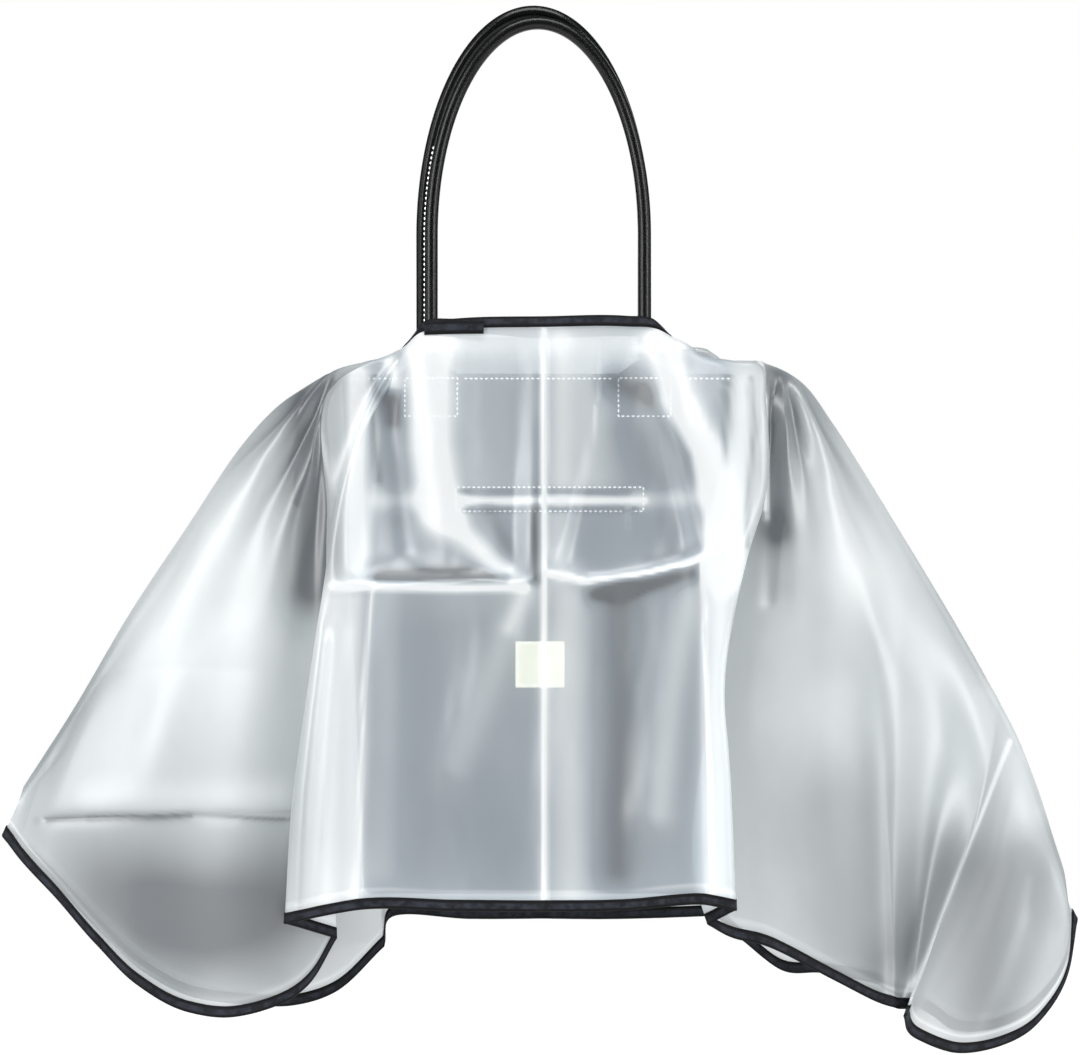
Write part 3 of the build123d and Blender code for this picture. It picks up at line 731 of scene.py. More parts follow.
def film_material():
    """Frosted vinyl, milky or smoky by the tone attribute, which holds light and shade read off the photo."""
    nodes = Nodes("frosted_film")
    cloud = nodes.noise(7.0, 4.0, stretch=(1, 1, 0.6))
    fine = nodes.noise(160.0, 3.0)
    dents = nodes.noise(26.0, 3.0, stretch=(1, 1, 0.5))
    tone = nodes.add("Attribute", attribute_name="tone").outputs["Fac"]
    normal = nodes.bump(dents, 0.0008, 0.35)
    normal = nodes.bump(fine, 0.00008, 0.4, normal)
    tint = nodes.ramp(cloud, [(0.34, (0.53, 0.57, 0.58)), (0.60, (0.71, 0.745, 0.745))])
    # Painted shade darkens the tint and painted light whitens it; both also make the film hazier.
    painted_shade = nodes.maths("MAXIMUM", nodes.maths("MULTIPLY", tone, -1.0), 0.0)
    painted_light = nodes.maths("MAXIMUM", tone, 0.0)
    cool = nodes.add("Attribute", attribute_name="cool").outputs["Fac"]
    tint = nodes.mix_colour(nodes.maths("MULTIPLY", cool, 0.5), tint, (0.52, 0.64, 0.75))
    tint = nodes.mix_colour(painted_shade, tint, (0.16, 0.175, 0.19))
    tint = nodes.mix_colour(painted_light, tint, (0.965, 0.99, 0.99))
    diffuse = nodes.add("BsdfDiffuse", {"Color": tint, "Normal": normal})
    glow = nodes.add("BsdfTranslucent", {"Color": tint, "Normal": normal})
    clear = nodes.add("BsdfTransparent", Color=(0.94, 0.97, 0.985, 1))
    gloss = nodes.add("BsdfGlossy", {"Normal": normal}, Color=(1, 1, 1, 1), Roughness=0.42)
    milk = nodes.mix_shader(0.3, diffuse.outputs[0], glow.outputs[0])
    haze = nodes.remap(cloud, 0.3, 0.7, *FILM_HAZE)
    haze = nodes.maths("ADD", haze, nodes.maths("MULTIPLY", nodes.maths("ABSOLUTE", tone), TONE_HAZE))
    slant = nodes.add("LayerWeight", {"Normal": normal}, Blend=0.5).outputs["Facing"]
    haze = nodes.maths("ADD", haze, nodes.maths("MULTIPLY", slant, SLANT_HAZE))
    haze = nodes.maths("MINIMUM", haze, 0.97)
    veil = nodes.mix_shader(haze, clear.outputs[0], milk)
    # Painted light also glows, as an emission, though the film is no lamp.
    strength = nodes.maths("MULTIPLY", painted_light, FILM_GLOW)
    lift = nodes.add("Emission", {"Strength": strength}, Color=(0.97, 0.99, 1, 1))
    veil = nodes.add("AddShader", {0: veil, 1: lift.outputs[0]}).outputs[0]
    share = nodes.remap(slant, 0.0, 1.0, 0.10, 0.24)
    return nodes.finish(nodes.mix_shader(share, veil, gloss.outputs[0]))


def tape_material():
    """Black woven binding with a greyer, mottled band along its middle."""
    nodes = Nodes("woven_binding")
    uv = nodes.add("UVMap").outputs[0]
    parts = nodes.add("SeparateXYZ", {"Vector": uv})
    along, over = parts.outputs[0], parts.outputs[1]
    ribs = nodes.maths("SINE", nodes.maths("MULTIPLY", along, 2 * pi / 0.0011))
    threads = nodes.maths("SINE", nodes.maths("MULTIPLY", over, 2 * pi * 9))
    weave = nodes.maths("MULTIPLY", ribs, threads)
    mottle = nodes.noise(140.0, 6.0, stretch=(1, 1, 1))
    middle = nodes.maths("ABSOLUTE", nodes.maths("SUBTRACT", over, 0.52))
    band = nodes.remap(middle, 0.36, 0.20, 0.0, 1.0)
    band = nodes.maths("MULTIPLY", band, nodes.remap(mottle, 0.40, 0.62, 0.25, 1.0))
    colour = nodes.ramp(band, [(0.0, (0.002, 0.002, 0.003)), (1.0, (0.030, 0.033, 0.045))])
    rough = nodes.remap(mottle, 0.3, 0.7, 0.42, 0.62)
    normal = nodes.bump(weave, 0.00010, 0.6)
    shader = nodes.add(
        "BsdfPrincipled", {"Base Color": colour, "Roughness": rough, "Normal": normal}
    )
    shader.inputs["Specular IOR Level"].default_value = 0.2
    return nodes.finish(shader.outputs[0])


def leather_material(name, colour, rough, grain, coat, depth=1.0):
    """Grained leather: cells and pores, uneven polish, paler where edges are rubbed."""
    nodes = Nodes(name)
    coords = nodes.add("TexCoord").outputs["Object"]
    cells = nodes.add("TexVoronoi", {"Vector": coords}, feature="DISTANCE_TO_EDGE")
    cells.inputs["Scale"].default_value = grain
    pores = nodes.noise(grain * 2.5, 3.0)
    polish = nodes.noise(14.0, 4.0)
    edge = nodes.add("NewGeometry").outputs["Pointiness"]
    worn = nodes.remap(edge, 0.52, 0.62, 0.0, 0.35)
    rubbed = tuple(c * 1.6 + 0.001 for c in colour)
    bare = tuple(c * 3 + 0.006 for c in colour)
    base = nodes.ramp(nodes.maths("ADD", polish, worn), [(0.35, colour), (0.75, rubbed), (1.0, bare)])
    groove = nodes.remap(cells.outputs["Distance"], 0.0, 0.12, 0.0, 1.0)
    normal = nodes.bump(groove, 0.00012 * depth, 0.7)
    normal = nodes.bump(pores, 0.00005 * depth, 0.5, normal)
    roughness = nodes.remap(polish, 0.3, 0.7, rough - 0.06, rough + 0.08)
    shader = nodes.add("BsdfPrincipled", {"Base Color": base, "Roughness": roughness, "Normal": normal})
    shader.inputs["Specular IOR Level"].default_value = 0.3
    shader.inputs["Coat Weight"].default_value = coat
    shader.inputs["Coat Roughness"].default_value = 0.16
    return nodes.finish(shader.outputs[0])


def cloth_material(name, colour, pitch, rough=0.8, sheen=0.2, glow=0.0):
    """A plain weave of the given thread pitch, with slight colour variation."""
    nodes = Nodes(name)
    parts = nodes.add("SeparateXYZ", {"Vector": nodes.add("TexCoord").outputs["Object"]})
    waves = [nodes.maths("SINE", nodes.maths("MULTIPLY", parts.outputs[i], 2 * pi / pitch)) for i in (0, 2)]
    depth = nodes.maths("SINE", nodes.maths("MULTIPLY", parts.outputs[1], 2 * pi / pitch))
    weave = nodes.maths("ADD", nodes.maths("MULTIPLY", waves[0], waves[1]), depth)
    mottle = nodes.noise(60.0, 4.0)
    base = nodes.ramp(mottle, [(0.3, tuple(c * 0.8 for c in colour)), (0.7, tuple(c * 1.15 for c in colour))])
    shader = nodes.add(
        "BsdfPrincipled", {"Base Color": base, "Normal": nodes.bump(weave, pitch * 0.15, 0.6)}
    )
    shader.inputs["Roughness"].default_value = rough
    shader.inputs["Sheen Weight"].default_value = sheen
    # The emission is a painted glow: thread and label give off light, though they are no lamps.
    shader.inputs["Emission Color"].default_value = (*colour, 1)
    shader.inputs["Emission Strength"].default_value = glow
    return nodes.finish(shader.outputs[0])


def metal_material():
    """Polished nickel with fine scratches."""
    nodes = Nodes("zip_metal")
    scratch = nodes.noise(700.0, 5.0, stretch=(1, 1, 14))
    smudge = nodes.noise(60.0, 3.0)
    scratched = nodes.remap(scratch, 0.3, 0.7, 0.12, 0.24)
    rough = nodes.maths("ADD", scratched, nodes.remap(smudge, 0.3, 0.7, 0.0, 0.1))
    colour = nodes.ramp(smudge, [(0.3, (0.80, 0.79, 0.76)), (0.7, (0.90, 0.89, 0.86))])
    normal = nodes.bump(scratch, 0.00002, 0.5)
    shader = nodes.add("BsdfPrincipled", {"Base Color": colour, "Roughness": rough, "Normal": normal})
    shader.inputs["Metallic"].default_value = 1.0
    return nodes.finish(shader.outputs[0])


def floor_material():
    """A plain pale studio floor."""
    nodes = Nodes("studio_floor")
    cloud = nodes.noise(2.0, 2.0)
    colour = nodes.ramp(cloud, [(0.3, (0.90, 0.90, 0.90)), (0.7, (0.93, 0.93, 0.93))])
    diffuse = nodes.add("BsdfDiffuse", {"Color": colour})
    light = nodes.add("Emission", Color=(1, 1, 1, 1), Strength=1.2)
    return nodes.finish(nodes.mix_shader(0.8, diffuse.outputs[0], light.outputs[0]))


MATERIALS = {
    "film": film_material(),
    "binding": tape_material(),
    "leather": leather_material("black_leather", (0.0085, 0.0085, 0.0095), 0.40, 900.0, 0.25),
    "handle_leather": leather_material("handle_leather", (0.0018, 0.0018, 0.0015), 0.24, 1100.0, 0.20, 0.35),
    "edge_paint": leather_material("edge_paint", (0.004, 0.004, 0.004), 0.22, 300.0, 0.6),
    "cord": cloth_material("cord_core", (0.62, 0.58, 0.50), 0.0012),
    "board": cloth_material("grey_board", (0.30, 0.29, 0.27), 0.0008, sheen=0.0),
    "lining": cloth_material("lining_cloth", (0.050, 0.052, 0.060), 0.0006, 0.65, 0.4),
    "zip_tape": cloth_material("zip_tape", (0.020, 0.020, 0.023), 0.0008, 0.7, 0.1),
    "zip_metal": metal_material(),
    "thread": cloth_material("white_thread", (0.86, 0.86, 0.84), 0.00035, 0.5, 0.3, THREAD_GLOW),
    "label": cloth_material("label_cloth", (0.92, 0.87, 0.64), 0.0009, 0.6, 0.2, LABEL_GLOW),
}


def dress(obj, material, body=None):
    """Gives a piece its material and slot, and lets it ride on its body."""
    obj.data.materials.clear()
    obj.data.materials.append(MATERIALS[material])
    if body:
        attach(obj, body)
    return obj


# ---- the cape -------------------------------------------------------------------------
def raise_relief(grid, height):
    return grid + grid_normals(grid) * height[:, :, None]


def film_piece(name, grid, places, tone, over_bag=False):
    """A sheet of film with its painted light and shade at each point, cooler in colour where it lies over the
    tote.
    """
    obj = grid_object(name, grid, places)
    set_value(obj, "tone", np.clip(tone, -1, 1))
    cool = ease((0.150 - np.abs(grid[:, :, 0])) / 0.025) if over_bag else np.zeros(grid.shape[:2])
    set_value(obj, "cool", cool)
    dress(obj, "film")
    return obj


def seal_line(grid):
    """Whitening along the heat seal, a little above the hem binding."""
    above = np.linalg.norm(np.diff(grid, axis=1), axis=2)
    above = np.cumsum(above[:, ::-1], axis=1)[:, ::-1]
    above = np.concatenate([above, np.zeros((len(grid), 1))], axis=1)
    return 0.55 * np.exp(-(((above - SEAL_HEIGHT * MM) / (1.1 * MM)) ** 2))


def make_front():
    """The front panel between the two inner folds, and its hem binding."""
    lines = [panel_line(points) for points in FRONT_COLUMNS]
    grid, places, knots = across(lines)
    x, z = grid[:, :, 0], grid[:, :, 2]
    height, tone = crease_relief(x, z, FRONT_CREASES)
    inside = ease((places - knots[2]) / 0.012) * ease((knots[8] - places) / 0.012)
    rows = np.linspace(0, 1, grid.shape[1])
    neck = ease(rows / 0.05)
    mask = inside[:, None] * neck[None, :]
    dents = wrinkles(grid, 24.0, 1.2, 5.0)
    flip = np.sign(grid_normals(grid)[len(places) // 2, 10, 1])
    grid = raise_relief(grid, -flip * mask * (height + dents))
    # Painted highlight and shade: the creases' bright lines and the listed front marks; the heat seal adds
    # its own whitening.
    tone = tone * mask + seal_line(grid) + paint_light_and_shade(x, z, FRONT_LIGHT_AND_SHADE)
    film = film_piece("cape_front_sheet", grid[:, : -HEM_ROWS + 2], places, tone[:, : -HEM_ROWS + 2], True)
    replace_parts(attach(film, "cape"), "cape_front_film")
    hem = tape("front_hem_tape", grid[:, -HEM_ROWS], grid[:, -1])
    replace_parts(dress(hem, "binding", "cape"), "front_hem_binding")
    return film, hem


def make_back():
    """The plain back panel and its hem binding."""
    lines = [panel_line(points) for points in BACK_COLUMNS]
    grid, places, knots = across(lines)
    creases = [
        ("ridge", 3.0, 8.0, [(4, -222), (4, -640)]),
        ("ledge", 5.0, 30.0, [(-110, -398), (-10, -398)]),
        ("ledge", 5.0, 30.0, [(14, -396), (118, -397)]),
        ("fold", 7.0, 18.0, [(-60, -240), (-76, -380)]),
        ("fold", -7.0, 16.0, [(52, -250), (70, -380)]),
        ("fold", -5.0, 24.0, [(-60, -420), (-64, -600)]),
        ("fold", 5.0, 20.0, [(70, -420), (74, -600)]),
    ]
    height, tone = crease_relief(grid[:, :, 0], grid[:, :, 2], creases)
    edge = ease(places / 0.03) * ease((knots[-1] - places) / 0.03)
    mask = edge[:, None] * ease(np.linspace(0, 1, grid.shape[1]) / 0.05)[None, :]
    dents = wrinkles(grid, 34.0, 0.9, 17.0)
    flip = np.sign(grid_normals(grid)[len(places) // 2, 10, 1])
    grid = raise_relief(grid, flip * mask * (height + dents))
    # Painted highlight lines along the ridge and ledges; the heat seal adds its own whitening.
    tone = tone * mask + seal_line(grid)
    film = film_piece("cape_back_sheet", grid[:, : -HEM_ROWS + 2], places, tone[:, : -HEM_ROWS + 2])
    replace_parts(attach(film, "cape"), "cape_back_film")
    hem = tape("back_hem_tape", grid[:, -HEM_ROWS], grid[:, -1])
    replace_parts(dress(hem, "binding", "cape"), "back_hem_binding")
    return film, hem


def make_side(side, columns, back_hems, back_inner, creases, lights_and_shades, corners):
    """One shoulder and wing in a single sheet, folded over the ridge, and its hem binding."""
    lines = []
    for index, (points, hem) in enumerate(zip(columns, back_hems)):
        back = [points[0]] + list(back_inner) if index == 0 else mirrored(points, hem)
        lines.append(side_line(points, back, index == 0))
    grid, places, knots = across(lines, corners)
    middle = grid.shape[1] // 2
    x, y, z = grid[:, :, 0], grid[:, :, 1], grid[:, :, 2]
    height, tone = crease_relief(x, z, creases)
    gathers, valley_shade = gather_relief(x, z, GATHERS[side])
    height = height + gathers
    # Painted shade in the valleys between the gathers.
    tone = tone - 0.75 * valley_shade
    edge = ease(places / 0.02) * ease((knots[-1] - places) / 0.03)
    mask = edge[:, None] * ease(np.abs(y) / 0.016)
    dents = wrinkles(grid, 11.0, 0.8, 31.0 if side == "left" else 47.0)
    flip = np.sign(grid_normals(grid)[len(places) // 2, middle // 2, 1])
    grid = raise_relief(grid, -flip * mask * (height + dents))
    inner = slice(HEM_ROWS - 2, -HEM_ROWS + 2)
    # Painted light and shade: crease lines, gather shade, an even lift over the sheet and the listed marks;
    # the heat seals add their own whitening.
    tone = tone * mask + seal_line(grid) + seal_line(grid[:, ::-1])[:, ::-1]
    tone = tone + SIDE_PAINTED_LIGHT + paint_light_and_shade(x, z, lights_and_shades)
    film = film_piece(f"{side}_side_sheet", grid[:, inner], places, tone[:, inner])
    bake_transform(film)
    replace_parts(film, f"{side}_shoulder_film", f"{side}_wing_film")
    top = np.vstack([grid[:, HEM_ROWS - 1], grid[::-1, -HEM_ROWS]])
    foot = np.vstack([grid[:, 0], grid[::-1, -1]])
    hem = tape(f"{side}_side_hem_tape", top, foot)
    dress(hem, "binding")
    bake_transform(hem)
    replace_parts(hem, f"{side}_shoulder_hem_binding", f"{side}_wing_hem_binding")
    return film, hem


def closed_line(points, count):
    """A smooth closed line through the points."""
    points = np.array(points, float) * MM
    wrapped = np.vstack([points[-3:], points, points[:4]])
    knots = run_lengths(wrapped)
    start, end = knots[3], knots[3 + len(points)]
    shares = np.linspace(0, len(points), count, endpoint=False)
    at = np.interp(shares, np.arange(len(points) + 1), knots[3 : 4 + len(points)])
    return smooth(knots - start, wrapped, at - start)


def make_neck():
    """The bound edge of the neck slit and the lapped end of its tape."""
    top = closed_line(NECK_FOOT, 360)
    foot = closed_line(NECK_EDGE, 360)
    ring = tape("neck_tape", top, foot, closed=True)
    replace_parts(dress(ring, "binding", "cape"), "neck_binding")
    lap_top = np.array([(-40, -52.8, -211.4), (-61, -52.6, -211.6), (-82.5, -52.2, -212.2)]) * MM
    fall = np.array([0, -0.9, -8.0]) * MM
    lap = tape("neck_tape_lap", lap_top + fall, lap_top, half=0.55)
    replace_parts(dress(lap, "binding", "cape"), "neck_binding_lap")
    return ring, lap


# ---- the tote -------------------------------------------------------------------------
def half_sizes(z):
    """The tote's half width and half depth at one height, in millimetres."""
    down = (BAG_TOP_Z - z) / (BAG_TOP_Z - BAG_BASE_Z)
    return [top + (base - top) * down for top, base in zip(BAG_TOP_HALF, BAG_BASE_HALF)]


FACE_TILT = atan2(BAG_BASE_HALF[1] - BAG_TOP_HALF[1], BAG_TOP_Z - BAG_BASE_Z)


def on_face(x, z, lift=0.0, side=-1):
    """A point on the tote's front or back leather, lifted off it by some millimetres."""
    return np.array([x, side * (half_sizes(z)[1] + lift * cos(FACE_TILT)), z + lift * sin(FACE_TILT)]) * MM


def wall_row(z, inset, across_places, corner, turned):
    """Points along one wall at one height: a bit of each corner's round and the straight between."""
    half = half_sizes(z)
    length, depth = (half[1], half[0]) if turned else half
    length, depth = length - inset, depth - inset
    corner = max(corner - inset, 0.5)
    straight = length - corner
    points = []
    for angle in np.linspace(45, 0, 5):
        points.append((-straight - corner * sin(radians(angle)), depth - corner * (1 - cos(radians(angle)))))
    for share in across_places:
        points.append((straight * share, depth))
    for angle in np.linspace(0, 45, 5):
        points.append((straight + corner * sin(radians(angle)), depth - corner * (1 - cos(radians(angle)))))
    return points


def gusset_pinch(along, z, length):
    """How far the soft gusset folds inwards near the top, in millimetres."""
    share = max(0.0, 1 - abs(along) / length)
    return 9.0 * share**1.5 * max(0.0, (z - BAG_BASE_Z) / (BAG_TOP_Z - BAG_BASE_Z)) ** 2.5


def wall_grid(wall, heights, inset, across_places, corner=BAG_CORNER):
    """One wall of the tote as a grid: wall 0 is the front, 1 the right, 2 the back and 3 the left."""
    turned = wall % 2 == 1
    turn = wall * pi / 2
    columns = []
    for z, extra in heights:
        row = []
        for along, out in wall_row(z, inset + extra, across_places, corner, turned):
            if turned:
                out -= gusset_pinch(along, z, half_sizes(z)[1])
            x = along * cos(turn) + out * sin(turn)
            y = along * sin(turn) - out * cos(turn)
            row.append((x, y, z))
        columns.append(row)
    return np.array(columns).transpose(1, 0, 2) * MM


def wall_heights(low, high, count, roll=0.0):
    """Heights from low to high, with a rolled edge at the bottom: pairs of z and extra inset."""
    rows = []
    if roll:
        for angle in np.linspace(0, 90, 7):
            rows.append((low + roll * (1 - cos(radians(angle))), roll * (1 - sin(radians(angle)))))
        low += roll
    for z in np.linspace(low, high, count)[1 if roll else 0 :]:
        rows.append((z, 0.0))
    return rows


def thicken(obj, thickness, offset=-1.0):
    solid = obj.modifiers.new("thickness", "SOLIDIFY")
    solid.thickness = thickness * MM
    solid.offset = offset
    return obj


def make_bag():
    """The leather shell as four walls and a base, its facing and its lining."""
    names = ["front_panel", "right_gusset", "back_panel", "left_gusset"]
    window = [ZIP_CENTRE_X - ZIP_WINDOW[0] / 2, ZIP_CENTRE_X + ZIP_WINDOW[0] / 2]
    straight = half_sizes(ZIP_Z)[0] - BAG_CORNER
    zip_shares = [x / straight for x in window]
    for wall, name in enumerate(names):
        places = np.linspace(-1, 1, 61 if wall % 2 == 0 else 31)
        heights = wall_heights(BAG_BASE_Z, BAG_TOP_Z, 90, BASE_ROLL)
        if wall == 0:
            places = np.unique(np.concatenate([places, zip_shares]).round(5))
            edges = [(ZIP_Z - ZIP_WINDOW[1] / 2, 0.0), (ZIP_Z + ZIP_WINDOW[1] / 2, 0.0)]
            heights = sorted(heights + edges)
        grid = wall_grid(wall, heights, 0.0, places)
        obj = grid_object(f"leather_{name}", grid)
        if wall == 0:
            cut_window(obj, window)
        thicken(obj, LEATHER, 1.0 if outward_flip(obj, wall) else -1.0)
        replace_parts(dress(obj, "leather", "bag"), f"bag_{name}")
    base = base_plate("leather_base", BAG_BASE_Z + 0.05, BASE_ROLL - 1.0, LEATHER)
    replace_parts(dress(base, "leather", "bag"), "bag_base")
    foot = BAG_TOP_Z - FACING_WIDTH
    ring_piece("top_facing_leather", LEATHER + 0.1, foot, BAG_TOP_Z - 0.2, "leather", "top_facing", 1.0)
    ring_piece("lining_bag", LINING_INSET, BAG_BASE_Z + 5.0, foot + 4.0, "lining", "lining", 0.5)
    piping()


def outward_flip(obj, wall):
    """True if the wall's faces point inwards, so that its thickness has to grow the other way."""
    outward = {0: (0, -1), 1: (1, 0), 2: (0, 1), 3: (-1, 0)}[wall]
    normal = obj.data.polygons[len(obj.data.polygons) // 2].normal
    return normal.x * outward[0] + normal.y * outward[1] < 0


def cut_window(obj, window):
    """Takes out the faces inside the zip's window."""
    mesh = bmesh.new()
    mesh.from_mesh(obj.data)
    low, high = (ZIP_Z - ZIP_WINDOW[1] / 2) * MM, (ZIP_Z + ZIP_WINDOW[1] / 2) * MM
    inside = []
    for face in mesh.faces:
        place = face.calc_center_median()
        if window[0] * MM < place.x < window[1] * MM and low < place.z < high:
            inside.append(face)
    bmesh.ops.delete(mesh, geom=inside, context="FACES")
    mesh.to_mesh(obj.data)
    mesh.free()


def base_plate(name, z, inset, thickness):
    half = [h - inset for h in half_sizes(z)]
    xs = np.linspace(-half[0], half[0], 40)
    ys = np.linspace(-half[1], half[1], 20)
    grid = np.array([[(x, y, z + 0.8 * (1 - (y / half[1]) ** 2)) for y in ys] for x in xs]) * MM
    return thicken(grid_object(name, grid), thickness, 1.0)


def ring_piece(name, inset, low, high, material, node, thickness):
    """A closed band inside the tote's walls, following their shape."""
    grids = []
    for wall in range(4):
        places = np.linspace(-1, 1, 41 if wall % 2 == 0 else 21)
        grids.append(wall_grid(wall, wall_heights(low, high, 40), inset, places)[:-1])
    obj = grid_object(name, np.concatenate(grids), closed=True)
    thicken(obj, thickness, 0.0)
    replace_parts(dress(obj, material, "bag"), node)


def tube(name, path, radius, sides=10):
    """A round tube along a line of points."""
    path = np.array(path)
    tangent = np.gradient(path, axis=0)
    tangent /= np.linalg.norm(tangent, axis=1, keepdims=True)
    across_dir = np.cross(tangent, (0.0, 1.0, 0.001))
    across_dir /= np.linalg.norm(across_dir, axis=1, keepdims=True)
    up_dir = np.cross(across_dir, tangent)
    rings = []
    for index in range(sides):
        angle = 2 * pi * index / sides
        rings.append(path + radius * (across_dir * cos(angle) + up_dir * sin(angle)))
    return ring_object(name, np.stack(rings, axis=1))


def piping():
    """A thin rolled leather edge down each corner seam."""
    inward = BAG_CORNER * (1 - cos(radians(45)))
    for side in (-1, 1):
        for face in (-1, 1):
            path = []
            for z in np.linspace(BAG_BASE_Z + 4, BAG_TOP_Z - 1, 60):
                half = half_sizes(z)
                path.append((side * (half[0] - inward + 0.4), face * (half[1] - inward + 0.4), z))
            label = ("left" if side < 0 else "right") + ("_front" if face < 0 else "_back")
            dress(tube(f"{label}_piping", np.array(path) * MM, 1.5 * MM), "edge_paint", "bag")


# ---- thread ---------------------------------------------------------------------------
def point_at(length, lengths, points):
    """The point that lies some length along a line of points."""
    return np.array([np.interp(length, lengths, points[:, k]) for k in range(3)])


def stitch_row(name, points, body, outward, sink=0.15):
    """A row of separate stitches along a line; outward is the surface's normal along it."""
    points = np.array(points, float)
    lengths = run_lengths(points)
    count = int(lengths[-1] / (STITCH_PITCH * MM))
    half = STITCH_LENGTH * MM / 2
    radius = THREAD_RADIUS * MM
    verts, faces = [], []
    outward = np.asarray(outward, float)
    for index in range(count):
        middle = (index + 0.5) * lengths[-1] / count
        centre = point_at(middle, lengths, points)
        ahead = point_at(min(middle + half, lengths[-1]), lengths, points)
        behind = point_at(max(middle - half, 0), lengths, points)
        run = (ahead - behind) / np.linalg.norm(ahead - behind)
        out = outward if outward.ndim == 1 else point_at(middle, lengths, outward)
        out = out - run * (out @ run)
        out /= np.linalg.norm(out)
        wide = np.cross(run, out)
        first = len(verts)
        for along, thick, rise in STITCH_SECTION:
            for step in range(STITCH_SIDES):
                angle = 2 * pi * step / STITCH_SIDES
                ring = (wide * cos(angle) + out * sin(angle)) * radius * thick
                verts.append(centre + run * along * half + out * radius * (rise - sink) + ring)
        for ring in range(len(STITCH_SECTION) - 1):
            a, b = first + ring * STITCH_SIDES, first + (ring + 1) * STITCH_SIDES
            for step in range(STITCH_SIDES):
                k = (step + 1) % STITCH_SIDES
                faces.append((a + step, a + k, b + k, b + step))
        faces.append(tuple(first + step for step in reversed(range(STITCH_SIDES))))
        last = first + (len(STITCH_SECTION) - 1) * STITCH_SIDES
        faces.append(tuple(last + step for step in range(STITCH_SIDES)))
    dress(new_object(name, verts, faces), "thread", body)


def face_row(name, points, side=-1, lift=0.2):
    """Stitches along straight runs on the tote's front or back leather."""
    line = []
    for start, end in zip(points, points[1:]):
        line += [on_face(*p, lift, side) for p in np.linspace(start, end, 30)]
    out = (0, side * cos(FACE_TILT), sin(FACE_TILT))
    stitch_row(name, line, "bag", out)


def frame_row(name, left, right, low, high, lift=0.2):
    """Stitches round a rectangle on the tote's front, from its upper left corner."""
    corners = [(left, high), (right, high), (right, low), (left, low), (left, high)]
    face_row(name, corners, -1, lift)


def make_stitching():
    """The tote's rows of thread: its top edges, handle tabs, zip and label."""
    for side, label in ((-1, "front"), (1, "back")):
        spec = HANDLES[label]
        edges = [spec["centre_x"] + sign * spec["half_width"] for sign in (-1, 1)]
        half = TAB_WIDTH / 2
        runs = [(-half_sizes(-250)[0] + 5, edges[0] - half - 2), (edges[0] + half + 2, edges[1] - half - 2),
                (edges[1] + half + 2, half_sizes(-250)[0] - 5)]
        for index, (start, end) in enumerate(runs):
            face_row(f"{label}_top_stitching_{index + 1}", [(start, TOP_ROW_Z), (end, TOP_ROW_Z)], side)
        for index, x in enumerate(edges):
            left, right = x - half + TAB_ROW_INSET, x + half - TAB_ROW_INSET
            low = BAG_TOP_Z - TAB_DROP + TAB_ROW_INSET
            high = BAG_TOP_Z - 3.5
            box = [(left, high), (left, low), (right, low), (right, high), (left, high)]
            face_row(f"{label}_tab_stitching_{index + 1}", box, side, TAB + 0.15)
    reach = ZIP_WINDOW[0] / 2 + ZIP_ROW_REACH
    left, right = ZIP_CENTRE_X - reach, ZIP_CENTRE_X + reach
    frame_row("zip_stitching", left, right, ZIP_Z - ZIP_ROW_RISE, ZIP_Z + ZIP_ROW_RISE)
    half_w, half_h = LABEL[0] / 2 + 0.2, LABEL[1] / 2 + 0.2
    left, right = -half_w + LABEL_ROW_INSET, half_w - LABEL_ROW_INSET
    low, high = LABEL_Z - half_h + LABEL_ROW_INSET, LABEL_Z + half_h - LABEL_ROW_INSET
    frame_row("label_stitching", left, right, low, high, LABEL[2] + 0.15)


# ---- the handles ----------------------------------------------------------------------
def handle_line(spec, count=220):
    """The handle's centre line: straight legs and a half ellipse over the top, in metres."""
    lean = atan2(PIVOT_Y - HANDLE_TOP_Y, spec["top_z"] - HANDLE_RADIUS - PIVOT_Z)
    rise = (ARCH_CENTRE_Z - PIVOT_Z) / cos(lean)
    height = (spec["top_z"] - HANDLE_RADIUS - ARCH_CENTRE_Z) / cos(lean)
    half = spec["half_width"]
    flat = [(-half, h) for h in np.linspace(0, rise, 30)[:-1]]
    flat += [(-half * cos(a), rise + height * sin(a)) for a in np.linspace(0, pi, 120)]
    flat += [(half, h) for h in np.linspace(rise, 0, 30)[1:]]
    flat = np.array(flat)
    lengths = run_lengths(flat)
    at = np.linspace(0, lengths[-1], count)
    x = np.interp(at, lengths, flat[:, 0]) + spec["centre_x"]
    up = np.interp(at, lengths, flat[:, 1])
    y = spec["side"] * (PIVOT_Y - up * sin(lean))
    return np.stack([x, y, PIVOT_Z + up * cos(lean)], axis=1) * MM, lean


